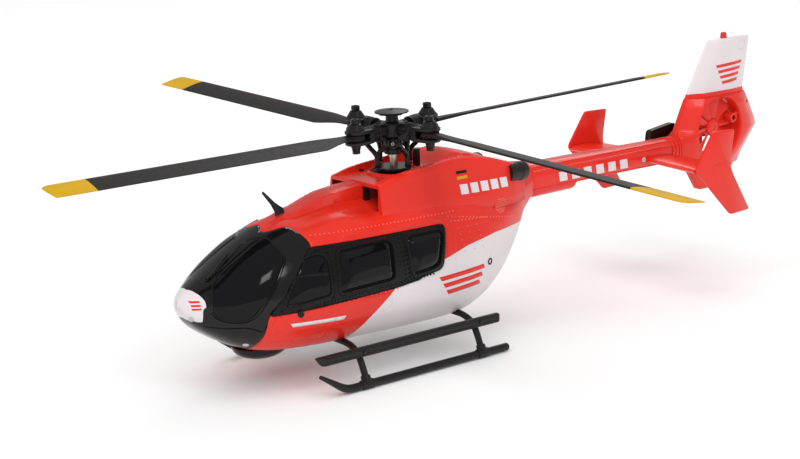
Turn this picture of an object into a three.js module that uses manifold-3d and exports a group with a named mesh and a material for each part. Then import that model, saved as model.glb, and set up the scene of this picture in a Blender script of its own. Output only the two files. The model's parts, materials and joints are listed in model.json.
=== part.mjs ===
// Helicopter scale model with a four-blade rotor and a ducted tail rotor.
// Millimetres. +X towards the nose, +Y to port, +Z up; the skids stand on z = 0.
import * as THREE from 'three';
import { mergeVertices } from 'three/addons/utils/BufferGeometryUtils.js';
import Module from 'manifold-3d';

const wasm = await Module();
wasm.setup();

// ---- driving dimensions ----
const GAP = 0.3; // clearance between neighbouring pieces
const WALL = 1.2; // thickness of the moulded shells
const ROTOR_RADIUS = 176;
const HUB_HEIGHT = 101.5; // blade plane at the mast
const MAST_LEAN = THREE.MathUtils.degToRad(2); // the mast leans forward
const BOLT_RADIUS = 23; // blade bolts from the mast axis
const FIRST_ARM = 6; // degrees, the arm nearest the nose
const BLADE_SWING = [5.6, 7.2, 8.4, 6.5]; // degrees clockwise from each arm
const BLADE_DROOP = [-1.6, 2.3, -0.35, -1.6]; // degrees below the rotor plane
const INCIDENCE = 10; // degrees, leading edge up
const CHORD_AHEAD = 5;
const CHORD_BEHIND = 8;
const TIP_LENGTH = 21; // painted blade tip
const SHAFT_RADIUS = 1.8;
const GEAR_TEETH = 60;
const PINION_TEETH = 10;
const GEAR_MODULE = 0.6;
const SWASH_DROP = 18; // swashplate below the blade plane
const LINK_RADIUS = 9.5; // pitch links from the mast axis
const HORN_OFFSET = 5.5; // pitch horn ball ahead of the arm axis
const INTAKE_X = 22; // front face of the roof cowling
const BOOM_START = -80;
const BOOM_END = -186.5;
const DUCT = { x: -215, z: 76, radius: 16.4, half: 8 };
const PLATE_Y = 44.2; // stabiliser end plates
const SKID_Y = 38;
const SKID_RADIUS = 1.75;
const TUBE_RADIUS = 1.5;
const CROSS_TUBES = { front: 47.5, rear: -19 };
const FAR = 140; // past every part of the model, for cutting tools

// Fuselage stations from nose to tail: x, roof, belly, half width, height of the widest line.
const STATIONS = [
  [116.6, 43.4, 40.2, 2.2, 41.8],
  [115.2, 45.4, 37.2, 5.2, 41.8],
  [111.0, 48.8, 32.0, 10.0, 41.2],
  [104.5, 52.8, 26.9, 15.4, 40.8],
  [95.0, 59.0, 21.4, 20.7, 40.4],
  [84.0, 65.2, 17.6, 24.8, 40.0],
  [72.0, 70.4, 16.0, 27.4, 40.0],
  [56.0, 74.2, 15.0, 28.9, 40.0],
  [38.0, 78.6, 14.4, 29.3, 40.0],
  [15.0, 79.8, 13.9, 29.3, 40.0],
  [-5.0, 79.8, 13.6, 29.2, 40.0],
  [-20.0, 79.6, 13.8, 28.5, 41.0],
  [-34.0, 79.0, 17.0, 26.2, 44.0],
  [-48.0, 77.8, 24.3, 22.0, 49.0],
  [-58.0, 77.4, 32.9, 17.8, 54.0],
  [-66.0, 76.6, 42.2, 14.1, 60.0],
  [-71.5, 75.8, 50.7, 11.3, 64.0],
  [BOOM_START, 74.8, 58.0, 7.9, 66.5],
];

// ---- shape helpers ----
const V = (x, y, z) => new THREE.Vector3(x, y, z);
const deg = THREE.MathUtils.degToRad;

function solid(geometry) {
  const bare = geometry.clone();
  for (const name of Object.keys(bare.attributes)) {
    if (name !== 'position') bare.deleteAttribute(name);
  }
  const merged = mergeVertices(bare, 1e-4);
  const vertProperties = new Float32Array(merged.attributes.position.array);
  const triVerts = new Uint32Array(merged.index.array);
  const body = new wasm.Manifold(new wasm.Mesh({ numProp: 3, vertProperties, triVerts }));
  if (body.volume() > 0) return body;
  for (let i = 0; i < triVerts.length; i += 3) {
    [triVerts[i], triVerts[i + 1]] = [triVerts[i + 1], triVerts[i]];
  }
  return new wasm.Manifold(new wasm.Mesh({ numProp: 3, vertProperties, triVerts }));
}

function geometryOf(body) {
  const mesh = body.getMesh();
  const geometry = new THREE.BufferGeometry();
  geometry.setAttribute('position', new THREE.BufferAttribute(new Float32Array(mesh.vertProperties), 3));
  geometry.setIndex(new THREE.BufferAttribute(new Uint32Array(mesh.triVerts), 1));
  geometry.computeVertexNormals();
  return geometry;
}

const join = (...bodies) => bodies.reduce((a, b) => a.add(b));
const cut = (body, ...tools) => tools.reduce((a, b) => a.subtract(b), body);

function block([x0, x1], [y0, y1], [z0, z1]) {
  const box = new THREE.BoxGeometry(x1 - x0, y1 - y0, z1 - z0);
  return solid(box.translate((x0 + x1) / 2, (y0 + y1) / 2, (z0 + z1) / 2));
}

function rod(start, end, radius, sides = 16, endRadius = radius) {
  const along = end.clone().sub(start);
  const geometry = new THREE.CylinderGeometry(endRadius, radius, along.length(), sides);
  const turn = new THREE.Quaternion().setFromUnitVectors(V(0, 1, 0), along.clone().normalize());
  geometry.applyQuaternion(turn);
  const middle = start.clone().add(end).multiplyScalar(0.5);
  return solid(geometry.translate(middle.x, middle.y, middle.z));
}

function turned(profile, sides = 16) {
  const points = profile.map(([radius, height]) => new THREE.Vector2(radius, height));
  return solid(new THREE.LatheGeometry(points, sides).rotateX(Math.PI / 2));
}

function washer(outer, inner, z0, z1, sides = 16) {
  return turned([[inner, z0], [outer, z0], [outer, z1], [inner, z1], [inner, z0]], sides);
}

function loft(rings) {
  const size = rings[0].length;
  const points = rings.flat();
  const centres = [rings[0], rings.at(-1)].map((ring) => (
    ring.reduce((sum, p) => sum.add(p), V(0, 0, 0)).multiplyScalar(1 / size)));
  const [first, last] = [points.length, points.length + 1];
  const base = (rings.length - 1) * size;
  const faces = [];
  for (let j = 0; j < size; j += 1) {
    const next = (j + 1) % size;
    for (let i = 0; i < base; i += size) {
      faces.push(i + j, i + next, i + size + next, i + j, i + size + next, i + size + j);
    }
    faces.push(first, next, j, last, base + j, base + next);
  }
  const geometry = new THREE.BufferGeometry().setFromPoints([...points, ...centres]);
  geometry.setIndex(faces);
  return solid(geometry);
}

// A flat outline in x and z, with rounded corners, made solid between two values of y.
function sidePlate(outline, y0, y1, radius = 0) {
  const shape = new THREE.Shape();
  const corners = outline.map(([x, z]) => new THREE.Vector2(x, z));
  corners.forEach((corner, i) => {
    const before = corners.at(i - 1).clone().sub(corner);
    const after = corners[(i + 1) % corners.length].clone().sub(corner);
    const reach = Math.min(radius, before.length() / 2, after.length() / 2);
    const enter = corner.clone().addScaledVector(before.normalize(), reach);
    const leave = corner.clone().addScaledVector(after.normalize(), reach);
    if (i === 0) shape.moveTo(enter.x, enter.y);
    else shape.lineTo(enter.x, enter.y);
    if (reach > 0) shape.quadraticCurveTo(corner.x, corner.y, leave.x, leave.y);
  });
  const settings = { depth: y1 - y0, bevelEnabled: false, curveSegments: 4 };
  return solid(new THREE.ExtrudeGeometry(shape, settings).rotateX(Math.PI / 2).translate(0, y1, 0));
}

// Moves every edge of an outline outwards by the same distance.
function grown(outline, distance) {
  const corners = outline.map(([x, z]) => new THREE.Vector2(x, z));
  const turn = Math.sign(THREE.ShapeUtils.area(corners));
  return corners.map((corner, i) => {
    const into = corner.clone().sub(corners.at(i - 1)).normalize();
    const out = corners[(i + 1) % corners.length].clone().sub(corner).normalize();
    const bisector = new THREE.Vector2(into.y + out.y, -into.x - out.x).multiplyScalar(turn);
    const length = bisector.length();
    return corner.clone().addScaledVector(bisector, (2 * distance) / (length * length)).toArray();
  });
}

const mirrored = (body) => body.mirror([0, 1, 0]);

// ---- materials ----
const finish = (color, roughness, metalness = 0) => (
  new THREE.MeshStandardMaterial({ color, roughness, metalness }));
const RED = finish('#e03428', 0.3);
const GLOSS_BLACK = finish('#1b1919', 0.12);
const BLACK = finish('#2b2929', 0.5);
const STEEL = finish('#b4aca6', 0.25, 1);
const BEACON_RED = finish('#b3221c', 0.15);
const GEAR_WHITE = finish('#e6e2d6', 0.5);
const BOARD_GREEN = finish('#1f5a3a', 0.6);
const BATTERY_BLUE = finish('#2a4e8c', 0.4);

const model = new THREE.Group();
const head = new THREE.Group(); // everything on the leaning mast, measured from the hub centre
head.position.set(0, 0, HUB_HEIGHT);
head.rotation.y = MAST_LEAN;
model.add(head);

function add(name, body, material, parent = model) {
  const mesh = new THREE.Mesh(geometryOf(body), material);
  mesh.name = name;
  parent.add(mesh);
  return mesh;
}

// ---- fuselage ----
const RING_POINTS = 20;
const ROOF_POWER = 1.95;
const BELLY_POWER = 3;

function bodyRing([x, roof, belly, half, waist], inset) {
  return Array.from({ length: RING_POINTS }, (_, i) => {
    const angle = (i / RING_POINTS) * 2 * Math.PI;
    const [c, s] = [Math.cos(angle), Math.sin(angle)];
    const power = 2 / (s > 0 ? ROOF_POWER : BELLY_POWER);
    const height = (s > 0 ? roof - waist : waist - belly) - inset;
    const y = (half - inset) * Math.sign(c) * Math.abs(c) ** power;
    return V(x, y, waist + height * Math.sign(s) * Math.abs(s) ** power);
  });
}

function fuselageSolid(inset) {
  const rings = STATIONS.map((station) => bodyRing(station, inset));
  const end = rings.at(-1).map((p) => p.clone().setX(p.x - Math.max(inset, 0)));
  const noseShift = (p) => p.setX(p.x - Math.max(inset, 0) + Math.max(-inset, 0));
  rings[0].forEach(noseShift);
  return loft([...rings, end.map((p) => p.setX(p.x - 0.01))]);
}

const bodyOuter = fuselageSolid(0);
const bodyShell = cut(bodyOuter, fuselageSolid(WALL));
const clearOfBody = fuselageSolid(-GAP);

// Side outlines of the black nose and of the window band.
const NOSE_SEAM = [[FAR, 95], [71, 95], [71, 69], [64, 62], [88.5, 36], [93, 29], [91, 5], [FAR, 5]];
const WINDOW_BAND = [[64.6, 61.4], [-9, 59.3], [-4, 42], [21, 38.4], [87.6, 36.2]];
const BAND = { inner: 8, corner: 3 };
const portHalf = block([-FAR, FAR], [GAP / 2, FAR], [0, FAR]);
// Height of a cross tube against the distance from the middle, down to the skid.
const CROSS_TUBE = [[0, 17.4], [19, 17.4], [27, 16.6], [32.2, 13.8], [35.2, 8.4], [36.9, 4.8]];
const CROSS_TUBE_SIDES = 10;

function crossTube(x, radius) {
  const starboard = CROSS_TUBE.slice(1).reverse().map(([y, z]) => V(x, -y, z));
  const points = [...starboard, ...CROSS_TUBE.map(([y, z]) => V(x, y, z))];
  const rings = points.map((p, i) => {
    const before = points[Math.max(i - 1, 0)];
    const after = points[Math.min(i + 1, points.length - 1)];
    const along = after.clone().sub(before).normalize();
    const normal = V(1, 0, 0).cross(along);
    return Array.from({ length: CROSS_TUBE_SIDES }, (_, k) => {
      const angle = (k / CROSS_TUBE_SIDES) * 2 * Math.PI;
      return p.clone()
        .add(V(radius * Math.cos(angle), 0, 0))
        .addScaledVector(normal, radius * Math.sin(angle));
    });
  });
  return loft(rings);
}

const noseRegion = sidePlate(NOSE_SEAM, -FAR, FAR);
const noseClear = sidePlate(grown(NOSE_SEAM, GAP), -FAR, FAR);
const bandRegion = sidePlate(WINDOW_BAND, BAND.inner, FAR, BAND.corner);
const bandClear = sidePlate(grown(WINDOW_BAND, GAP), BAND.inner, FAR, BAND.corner);
const ROOF_OPENING = { rear: -58, front: 17, half: 13.5, floor: 70 };
const roofOpening = block(
  [ROOF_OPENING.rear, ROOF_OPENING.front],
  [-ROOF_OPENING.half, ROOF_OPENING.half],
  [ROOF_OPENING.floor, FAR]);
const tubeClear = Object.values(CROSS_TUBES).map((x) => crossTube(x, TUBE_RADIUS + GAP + 0.1));

const windowPanel = bodyShell.intersect(bandRegion);
const cabinShell = cut(
  bodyShell.intersect(portHalf), noseClear, bandClear, roofOpening, ...tubeClear);

add('nose_canopy', cut(bodyShell.intersect(noseRegion), bandClear, mirrored(bandClear)), GLOSS_BLACK);
add('cabin_shell_left', cabinShell, RED);
add('cabin_shell_right', mirrored(cabinShell), RED);
add('window_panel_left', windowPanel, GLOSS_BLACK);
add('window_panel_right', mirrored(windowPanel), GLOSS_BLACK);

// ---- roof cowling: raised sides around the mast well, engine deck behind it ----
// Stations: x, ridge height, ridge half width, foot half width.
const COWL = [
  [INTAKE_X, 81.6, 17.3, 19.5],
  [12, 84.0, 17.3, 20.0],
  [-7, 86.0, 17.3, 20.8],
  [-24, 87.8, 17.3, 21.2],
  [-38, 86.2, 17.3, 21.0],
  [-56, 81.4, 17.0, 19.5],
  [-66, 77.8, 15.4, 16.8],
];
const COWL_FOOT = 62;
const POST = { x: -15.5, y: -2.6, radius: 1.7 }; // guide post of the swashplate

function cowlSolid(inset) {
  return loft(COWL.map(([x, ridge, half, foot], i) => {
    const ends = i === 0 || i === COWL.length - 1;
    const along = ends ? x - Math.sign(x) * inset : x;
    const top = ridge - inset;
    const [h, f] = [half - inset, foot - inset];
    const rightSide = [[f, COWL_FOOT], [h + 1, top - 6], [h - 0.8, top - 1], [h - 4, top]];
    const leftSide = [...rightSide].reverse().map(([y, z]) => [-y, z]);
    return [...rightSide, ...leftSide].map(([y, z]) => V(along, y, z));
  }));
}

const WELL = {
  front: INTAKE_X + 1, rear: -22, half: 13.6, floorFront: 81.4, floorRear: 82.8, top: 100, slope: 6,
};
const well = sidePlate([
  [WELL.front, WELL.floorFront], [WELL.front, WELL.top],
  [WELL.rear - WELL.slope, WELL.top], [WELL.rear, WELL.floorRear],
], -WELL.half, WELL.half);
const wellUnderside = sidePlate([
  [WELL.front, WELL.floorFront - WALL], [WELL.front, WELL.top],
  [WELL.rear - WELL.slope - 2, WELL.top], [WELL.rear - WALL, WELL.floorRear - WALL],
], -WELL.half - WALL, WELL.half + WALL);
const INTAKE = { inner: 10, outer: 16, bottom: 70.5, top: 79.8, depth: 3 };
const intake = block(
  [INTAKE_X - INTAKE.depth, INTAKE_X + 1], [INTAKE.inner, INTAKE.outer], [INTAKE.bottom, INTAKE.top]);
const EXHAUST = { y: 15.2, z: 76.2, outer: 4.5, inner: 3.6, start: -55, end: -67, toe: 0.06 };
const exhaustAxis = (x, hand) => (
  V(x, hand * (EXHAUST.y + (x - EXHAUST.end) * EXHAUST.toe), EXHAUST.z));
const exhaustClear = (hand) => rod(
  exhaustAxis(EXHAUST.start + 1, hand), exhaustAxis(EXHAUST.end - 1, hand), EXHAUST.outer + GAP);
const floorHole = (x, y, radius, sides) => rod(V(x, y, COWL_FOOT), V(x, y, WELL.top), radius, sides);
// At the floor the lean has moved the mast and its guide post back by about 1 mm.
const MAST_HOLE = { x: -1, radius: 11.2 };
const mastHole = floorHole(MAST_HOLE.x, 0, MAST_HOLE.radius, 20);
const postHole = floorHole(POST.x - 0.8, POST.y, POST.radius + 2 * GAP, 12);
const cowlInner = cut(cowlSolid(WALL), wellUnderside);

add('roof_cowling', cut(
  cowlSolid(0), cowlInner, well, clearOfBody, intake, mirrored(intake),
  exhaustClear(1), exhaustClear(-1), mastHole, postHole), RED);

for (const [name, hand] of [['left', 1], ['right', -1]]) {
  const [from, to] = [exhaustAxis(EXHAUST.start, hand), exhaustAxis(EXHAUST.end, hand)];
  const beyond = exhaustAxis(EXHAUST.end - 1, hand);
  const bore = exhaustAxis(EXHAUST.start - 3, hand);
  const pipe = cut(rod(from, to, EXHAUST.outer, 20), rod(bore, beyond, EXHAUST.inner, 20));
  add(`exhaust_${name}`, cut(pipe, clearOfBody), BLACK);
}

// ---- roof antenna and belly pod ----
const ANTENNA = [[57.5, 75.0], [67.5, 72.2], [72.4, 82.6], [71.6, 83.3]];
const ANTENNA_HALF = 0.7;
add('roof_antenna', cut(sidePlate(ANTENNA, -ANTENNA_HALF, ANTENNA_HALF), clearOfBody), BLACK);

const POD = { x: 76, z: 17, length: 13, half: 11, height: 5.6 };
const podBall = new THREE.SphereGeometry(1, 20, 12).scale(POD.length, POD.half, POD.height);
const pod = solid(podBall.translate(POD.x, 0, POD.z));
add('belly_sensor_pod', cut(pod, clearOfBody), GLOSS_BLACK);

// ---- tail boom, stabiliser, fin with its duct ----
const OVAL_POWER = 0.8; // below 1 the section is squarer than an ellipse

function ovalRing(x, half, bottom, top, sides = 16) {
  const middle = (bottom + top) / 2;
  return Array.from({ length: sides }, (_, i) => {
    const angle = ((i + 0.5) / sides) * 2 * Math.PI;
    const [c, s] = [Math.cos(angle), Math.sin(angle)];
    const y = half * Math.sign(c) * Math.abs(c) ** OVAL_POWER;
    return V(x, y, middle + (top - middle) * Math.sign(s) * Math.abs(s) ** OVAL_POWER);
  });
}

const STABILISER = { tipFront: -154.5, tipRear: -179, rootFront: -160, rootRear: -180.5, z: 66.2, half: 2 };

function stabiliserSolid(extra) {
  const { tipFront, tipRear, rootFront, rootRear, z, half } = STABILISER;
  const section = (y, front, rear) => {
    const nose = front - 4;
    const outline = [
      [front + extra, -0.7], [front + extra, 0.7], [nose, half + extra],
      [rear + 6, half * 0.8 + extra], [rear - extra, 0.5 + extra],
      [rear - extra, -0.5 - extra], [rear + 6, -half * 0.8 - extra], [nose, -half - extra],
    ];
    return outline.map(([x, dz]) => V(x, y, z + dz));
  };
  const tip = PLATE_Y - 1.5 - GAP;
  return loft([
    section(-tip, tipFront, tipRear), section(-6, rootFront, rootRear),
    section(6, rootFront, rootRear), section(tip, tipFront, tipRear),
  ]);
}

const boomTube = loft([
  ovalRing(BOOM_START - GAP, 8, 57.8, 74.6), ovalRing(-108, 7.6, 58.2, 74.4),
  ovalRing(-112, 7.6, 61.2, 74.3), ovalRing(-150, 6.8, 61.6, 74), ovalRing(BOOM_END, 6.2, 61.4, 73.8),
]);
const spigot = loft([
  ovalRing(BOOM_START + 5, 5.4, 61, 71.6), ovalRing(BOOM_START - 4, 5.4, 61, 71.6),
]);
add('tail_boom', cut(join(boomTube, spigot), stabiliserSolid(GAP)), RED);
add('horizontal_stabilizer', stabiliserSolid(0), RED);

const END_PLATE = [
  [-166.7, 84.6], [-182.6, 84.3], [-179.6, 66.2], [-195.6, 41.9], [-181.3, 41.2], [-154, 67.2],
];
const PLATE_THICKNESS = 1.4;
const endPlate = sidePlate(END_PLATE, PLATE_Y - PLATE_THICKNESS, PLATE_Y, 1.5);
add('end_plate_left', endPlate, RED);
add('end_plate_right', mirrored(endPlate), RED);

// Horizontal sections of the fin: height, leading edge, trailing edge, nose half width, half width.
const FIN_LOWER = [
  [55.3, -199.2, -236.8, 1.4, 5.5],
  [61.2, BOOM_END - GAP, -240.6, 5.2, 7.6],
  [71.0, BOOM_END - GAP, -249.0, 5.2, DUCT.half],
  [73.9, BOOM_END - GAP - 0.6, -251.2, 4.6, DUCT.half],
  [77.0, -188.2, -250.2, 1.5, DUCT.half],
  [88.3, -193.6, -244.0, 1.3, DUCT.half],
  [92.6, -195.8, -241.2, 1.2, 7.2],
];
const FIN_UPPER = [
  [91.0, -195.2, -241.2, 0.8, 4.2],
  [95.0, -196.9, -239.8, 0.8, 4.0],
  [121.6, -212.2, -244.2, 0.6, 2.6],
];
const FIN_TAIL_HALF = 1.4; // half width of the trailing edge
const VENTRAL = [[-196, 58], [-206, 43.6], [-226, 43.6], [-236, 58]];

function finLoft(sections) {
  return loft(sections.map(([z, front, rear, edge, half]) => {
    const port = [[front, edge], [front - 9, half], [rear + 12, half], [rear, FIN_TAIL_HALF]];
    const starboard = [...port].reverse().map(([x, y]) => [x, -y]);
    return [...port, ...starboard].map(([x, y]) => V(x, y, z));
  }));
}

const across = (x, y0, y1, z, radius, sides) => rod(V(x, y0, z), V(x, y1, z), radius, sides);
const ductHole = across(DUCT.x, -20, 20, DUCT.z, DUCT.radius, 32);
const TAIL_MOTOR = { radius: 4.2, inner: -7.4, outer: -1.6 };
const motorCup = cut(
  across(DUCT.x, -7.9, -2.6, DUCT.z, TAIL_MOTOR.radius + GAP + 1.1, 20),
  across(DUCT.x, -7.0, 0, DUCT.z, TAIL_MOTOR.radius + GAP, 20));
const struts = [30, 150, 270].map((angle) => {
  const arm = V(Math.cos(deg(angle)), 0, Math.sin(deg(angle)));
  const from = V(DUCT.x, -5.6, DUCT.z).addScaledVector(arm, TAIL_MOTOR.radius + 0.9);
  return rod(from, V(DUCT.x, -5.6, DUCT.z).addScaledVector(arm, DUCT.radius + 1.5), 0.9, 8);
});
const finShell = cut(join(finLoft(FIN_LOWER), finLoft(FIN_UPPER), sidePlate(VENTRAL, -1.6, 1.6)), ductHole);
add('fin_housing', cut(join(finShell, motorCup, ...struts), stabiliserSolid(GAP * 1.2)), RED);
add('tail_motor', join(
  across(DUCT.x, -6.7, TAIL_MOTOR.outer, DUCT.z, TAIL_MOTOR.radius, 20),
  across(DUCT.x, TAIL_MOTOR.outer - 0.1, 0.6, DUCT.z, 0.6, 12)), STEEL);

const FAN = {
  blades: 10, hub: 4.6, tip: DUCT.radius - 0.7, plane: 1.1, chord: 3.6, thickness: 0.8, pitch: deg(-35),
};
const fanHub = cut(
  across(DUCT.x, -1.2, 3.4, DUCT.z, FAN.hub, 24), across(DUCT.x, -2, 1.4, DUCT.z, 0.9, 12));
const fanBlades = Array.from({ length: FAN.blades }, (_, i) => {
  const root = FAN.hub - FAN.thickness;
  const blade = new THREE.BoxGeometry(FAN.chord, FAN.thickness, FAN.tip - root);
  blade.rotateZ(FAN.pitch).translate(0, FAN.plane, (FAN.tip + root) / 2);
  blade.rotateY((i / FAN.blades) * 2 * Math.PI);
  return solid(blade.translate(DUCT.x, 0, DUCT.z));
});
add('tail_rotor', join(fanHub, ...fanBlades), RED);

const BEACON = { x: -224.8, foot: 121.9, top: 125, radius: 1.7, topRadius: 1.2 };
add('beacon_lamp', rod(
  V(BEACON.x, 0, BEACON.foot), V(BEACON.x, 0, BEACON.top),
  BEACON.radius, 16, BEACON.topRadius), BEACON_RED);
const FAIRING = [[-179, 69], [-180, 77], [-198, 79.4], [-198, 69]];
const FAIRING_Y = -13.2;
add('duct_fairing', sidePlate(FAIRING, FAIRING_Y, -DUCT.half - GAP, 1.5), GLOSS_BLACK);

// ---- landing gear ----
function skidRunner() {
  const sides = 12;
  const flat = SKID_RADIUS * Math.cos(Math.PI / sides);
  const path = [
    [-34.6, flat, 0.5], [-33.9, flat, 0.9], [-32.9, flat, 1], [56, flat, 1],
    [60, flat + 1.1, 1], [67, flat + 5, 0.8], [73.4, flat + 8.8, 0.4],
  ];
  return loft(path.map(([x, z, scale], i) => {
    const before = path[Math.max(i - 1, 0)];
    const after = path[Math.min(i + 1, path.length - 1)];
    const tilt = Math.atan2(after[1] - before[1], after[0] - before[0]);
    return Array.from({ length: sides }, (_, k) => {
      const angle = ((k + 0.5) / sides) * 2 * Math.PI;
      const lift = SKID_RADIUS * scale * Math.sin(angle);
      const out = SKID_RADIUS * scale * Math.cos(angle);
      const lean = x > 56 ? tilt : 0;
      return V(x - lift * Math.sin(lean), SKID_Y + out, z + lift * Math.cos(lean));
    });
  }));
}

const STEP = { inner: 34.7, outer: 36.9, bottom: 13.6, top: 17.9, front: 73.2, rear: -31 };
const stepBoard = sidePlate([
  [STEP.front, STEP.top], [STEP.rear, STEP.top], [STEP.rear, STEP.bottom], [STEP.front - 3, STEP.bottom],
], STEP.inner, STEP.outer, 1.5);
add('front_cross_tube', crossTube(CROSS_TUBES.front, TUBE_RADIUS), BLACK);
add('rear_cross_tube', crossTube(CROSS_TUBES.rear, TUBE_RADIUS), BLACK);
add('skid_left', skidRunner(), BLACK);
add('skid_right', mirrored(skidRunner()), BLACK);
add('step_left', stepBoard, BLACK);
add('step_right', mirrored(stepBoard), BLACK);

// ---- rotor head, measured from the hub centre with the mast along Z ----
const turnedAbout = (body, degrees) => body.rotate([0, 0, degrees]);
const armAngles = BLADE_SWING.map((_, i) => FIRST_ARM + i * 90);
const SPINDLE = { radius: 1.3, reach: 15.5 };
const GRIP = { start: 10.2, fork: 16.5, end: 27.2, half: 4.6, jaw: 3.2, barrel: 3.6 };
const BLADE_ROOT_HALF = 1.3;
const EYE_RADIUS = 4.2;
const BOLT = { shank: 1.1, head: 1.9, headFoot: 6.3, top: 8.3, nut: 1.7, nutTop: -6.1, bottom: -7.2 };
const BOLT_PLAY = 0.25;
const PRESS = 0.05; // radial gap of what sits tight on a shaft
const GEAR = { z0: -55, z1: -51.4 };
const DECKS = { lower: -64, upper: -31, thickness: 1.6, rear: -35, front: 25 };

const shaft = rod(V(0, 0, -70), V(0, 0, 1.6), SHAFT_RADIUS, 20);
add('main_shaft', shaft, STEEL, head);

const hubSleeve = turned([
  [SHAFT_RADIUS + PRESS, -11], [4.1, -11], [4.3, -4], [5.2, -3], [5.6, 0], [5.2, 3], [3.4, 3.6], [0, 3.6],
  [0, 1.9], [SHAFT_RADIUS + PRESS, 1.9], [SHAFT_RADIUS + PRESS, -11],
]);
const hubArms = armAngles.map((angle) => turnedAbout(join(
  rod(V(4, 0, 0), V(9.6, 0, 0), 2.6, 10), rod(V(9, 0, 0), V(SPINDLE.reach, 0, 0), SPINDLE.radius, 8),
), angle));
add('rotor_hub', join(hubSleeve, ...hubArms), BLACK, head);
add('head_cap', turned([
  [0, 3.9], [2.9, 3.9], [2.7, 6.6], [4.4, 7.2], [7.7, 7.6], [7.7, 8.2], [3.5, 8.9], [0, 9],
]), BLACK, head);

const grip = (() => {
  const atBolt = (z0, z1, radius, sides, topRadius) => (
    rod(V(BOLT_RADIUS, 0, z0), V(BOLT_RADIUS, 0, z1), radius, sides, topRadius));
  const barrel = rod(V(GRIP.start, 0, 0), V(GRIP.fork + 1, 0, 0), GRIP.barrel, 10);
  const yoke = block([GRIP.fork - 2.5, BOLT_RADIUS], [-GRIP.half, GRIP.half], [-GRIP.jaw, GRIP.jaw]);
  const eye = atBolt(-GRIP.jaw, GRIP.jaw, GRIP.half, 14);
  const crown = atBolt(GRIP.jaw - 0.2, BOLT.headFoot - GAP, 4.3, 12, 2.7);
  const foot = atBolt(BOLT.nutTop + GAP, -GRIP.jaw + 0.2, BOLT.head, 10);
  const throat = block(
    [BOLT_RADIUS - EYE_RADIUS - 2 * GAP, GRIP.end + 3], [-2 * GRIP.half, 2 * GRIP.half],
    [-BLADE_ROOT_HALF - GAP, BLADE_ROOT_HALF + GAP]);
  const horn = rod(V(13, -2, 0), V(LINK_RADIUS + 1.4, -HORN_OFFSET - 1.5, -2.2), 1.5, 8, 1.1);
  const spindleBore = rod(V(GRIP.start - 1, 0, 0), V(SPINDLE.reach + GAP, 0, 0), SPINDLE.radius + GAP, 8);
  const boltBore = atBolt(BOLT.bottom - 1, BOLT.top + 1, BOLT.shank + BOLT_PLAY, 8);
  return cut(join(barrel, yoke, eye, crown, foot, horn), throat, spindleBore, boltBore);
})();
const bolt = join(
  rod(V(BOLT_RADIUS, 0, BOLT.bottom), V(BOLT_RADIUS, 0, BOLT.top - 1), BOLT.shank, 8),
  rod(V(BOLT_RADIUS, 0, BOLT.headFoot), V(BOLT_RADIUS, 0, BOLT.top), BOLT.head, 10),
  rod(V(BOLT_RADIUS, 0, BOLT.bottom), V(BOLT_RADIUS, 0, BOLT.nutTop), BOLT.nut, 6));

// One blade along +X from its bolt at the origin, leading edge towards -Y.
function bladeSolid() {
  const span = ROTOR_RADIUS - BOLT_RADIUS;
  // distance from the bolt, chord ahead, chord behind, incidence, half thickness
  const stations = [
    [3, 4.2, 4.2, 0, 1.3],
    [7, 3.8, 3.8, 2, 1.3],
    [14, 4.4, 5, 7, 1.15],
    [21, CHORD_AHEAD, CHORD_BEHIND, INCIDENCE, 0.95],
    [span - TIP_LENGTH, CHORD_AHEAD, CHORD_BEHIND, INCIDENCE, 0.95],
    [span - 3, CHORD_AHEAD, CHORD_BEHIND, INCIDENCE, 0.8],
    [span, CHORD_AHEAD - 1.6, CHORD_BEHIND - 0.4, INCIDENCE, 0.4],
  ];
  const section = [[-1, 0], [-0.82, 0.75], [-0.3, 1], [0.4, 0.72], [1, 0.18]];
  const rings = stations.map(([x, ahead, behind, incidence, half]) => {
    const upper = section.map(([s, t]) => [s < 0 ? s * ahead : s * behind, t * half]);
    const lower = upper.slice(1).reverse().map(([y, z]) => [y, -z * 0.85]);
    const turn = -deg(incidence);
    const [c, s] = [Math.cos(turn), Math.sin(turn)];
    return [...upper, ...lower].map(([y, z]) => V(x, y * c - z * s, y * s + z * c));
  });
  const eye = rod(V(0, 0, -BLADE_ROOT_HALF), V(0, 0, BLADE_ROOT_HALF), EYE_RADIUS, 14);
  const bore = rod(V(0, 0, -3), V(0, 0, 3), BOLT.shank + BOLT_PLAY, 8);
  return cut(join(loft(rings), eye), bore);
}
const blade = bladeSolid();
const BEND_START = 7; // from the bolt; the blade droops beyond it

const linkFoot = -SWASH_DROP + 1.4;
const pitchLink = (() => {
  const top = V(LINK_RADIUS + 1.2, -HORN_OFFSET - 1.6, -4.7);
  const elbow = V(LINK_RADIUS, -1.4, -10.5);
  const foot = V(LINK_RADIUS, -0.6, linkFoot + 0.5);
  const ball = solid(new THREE.SphereGeometry(1.35, 8, 6).translate(top.x, top.y, top.z));
  const knee = solid(new THREE.SphereGeometry(1.4, 8, 6).translate(elbow.x, elbow.y, elbow.z));
  return join(ball, rod(top, elbow, 1.0, 8, 1.2), knee, rod(elbow, foot, 1.3, 8));
})();

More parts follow.
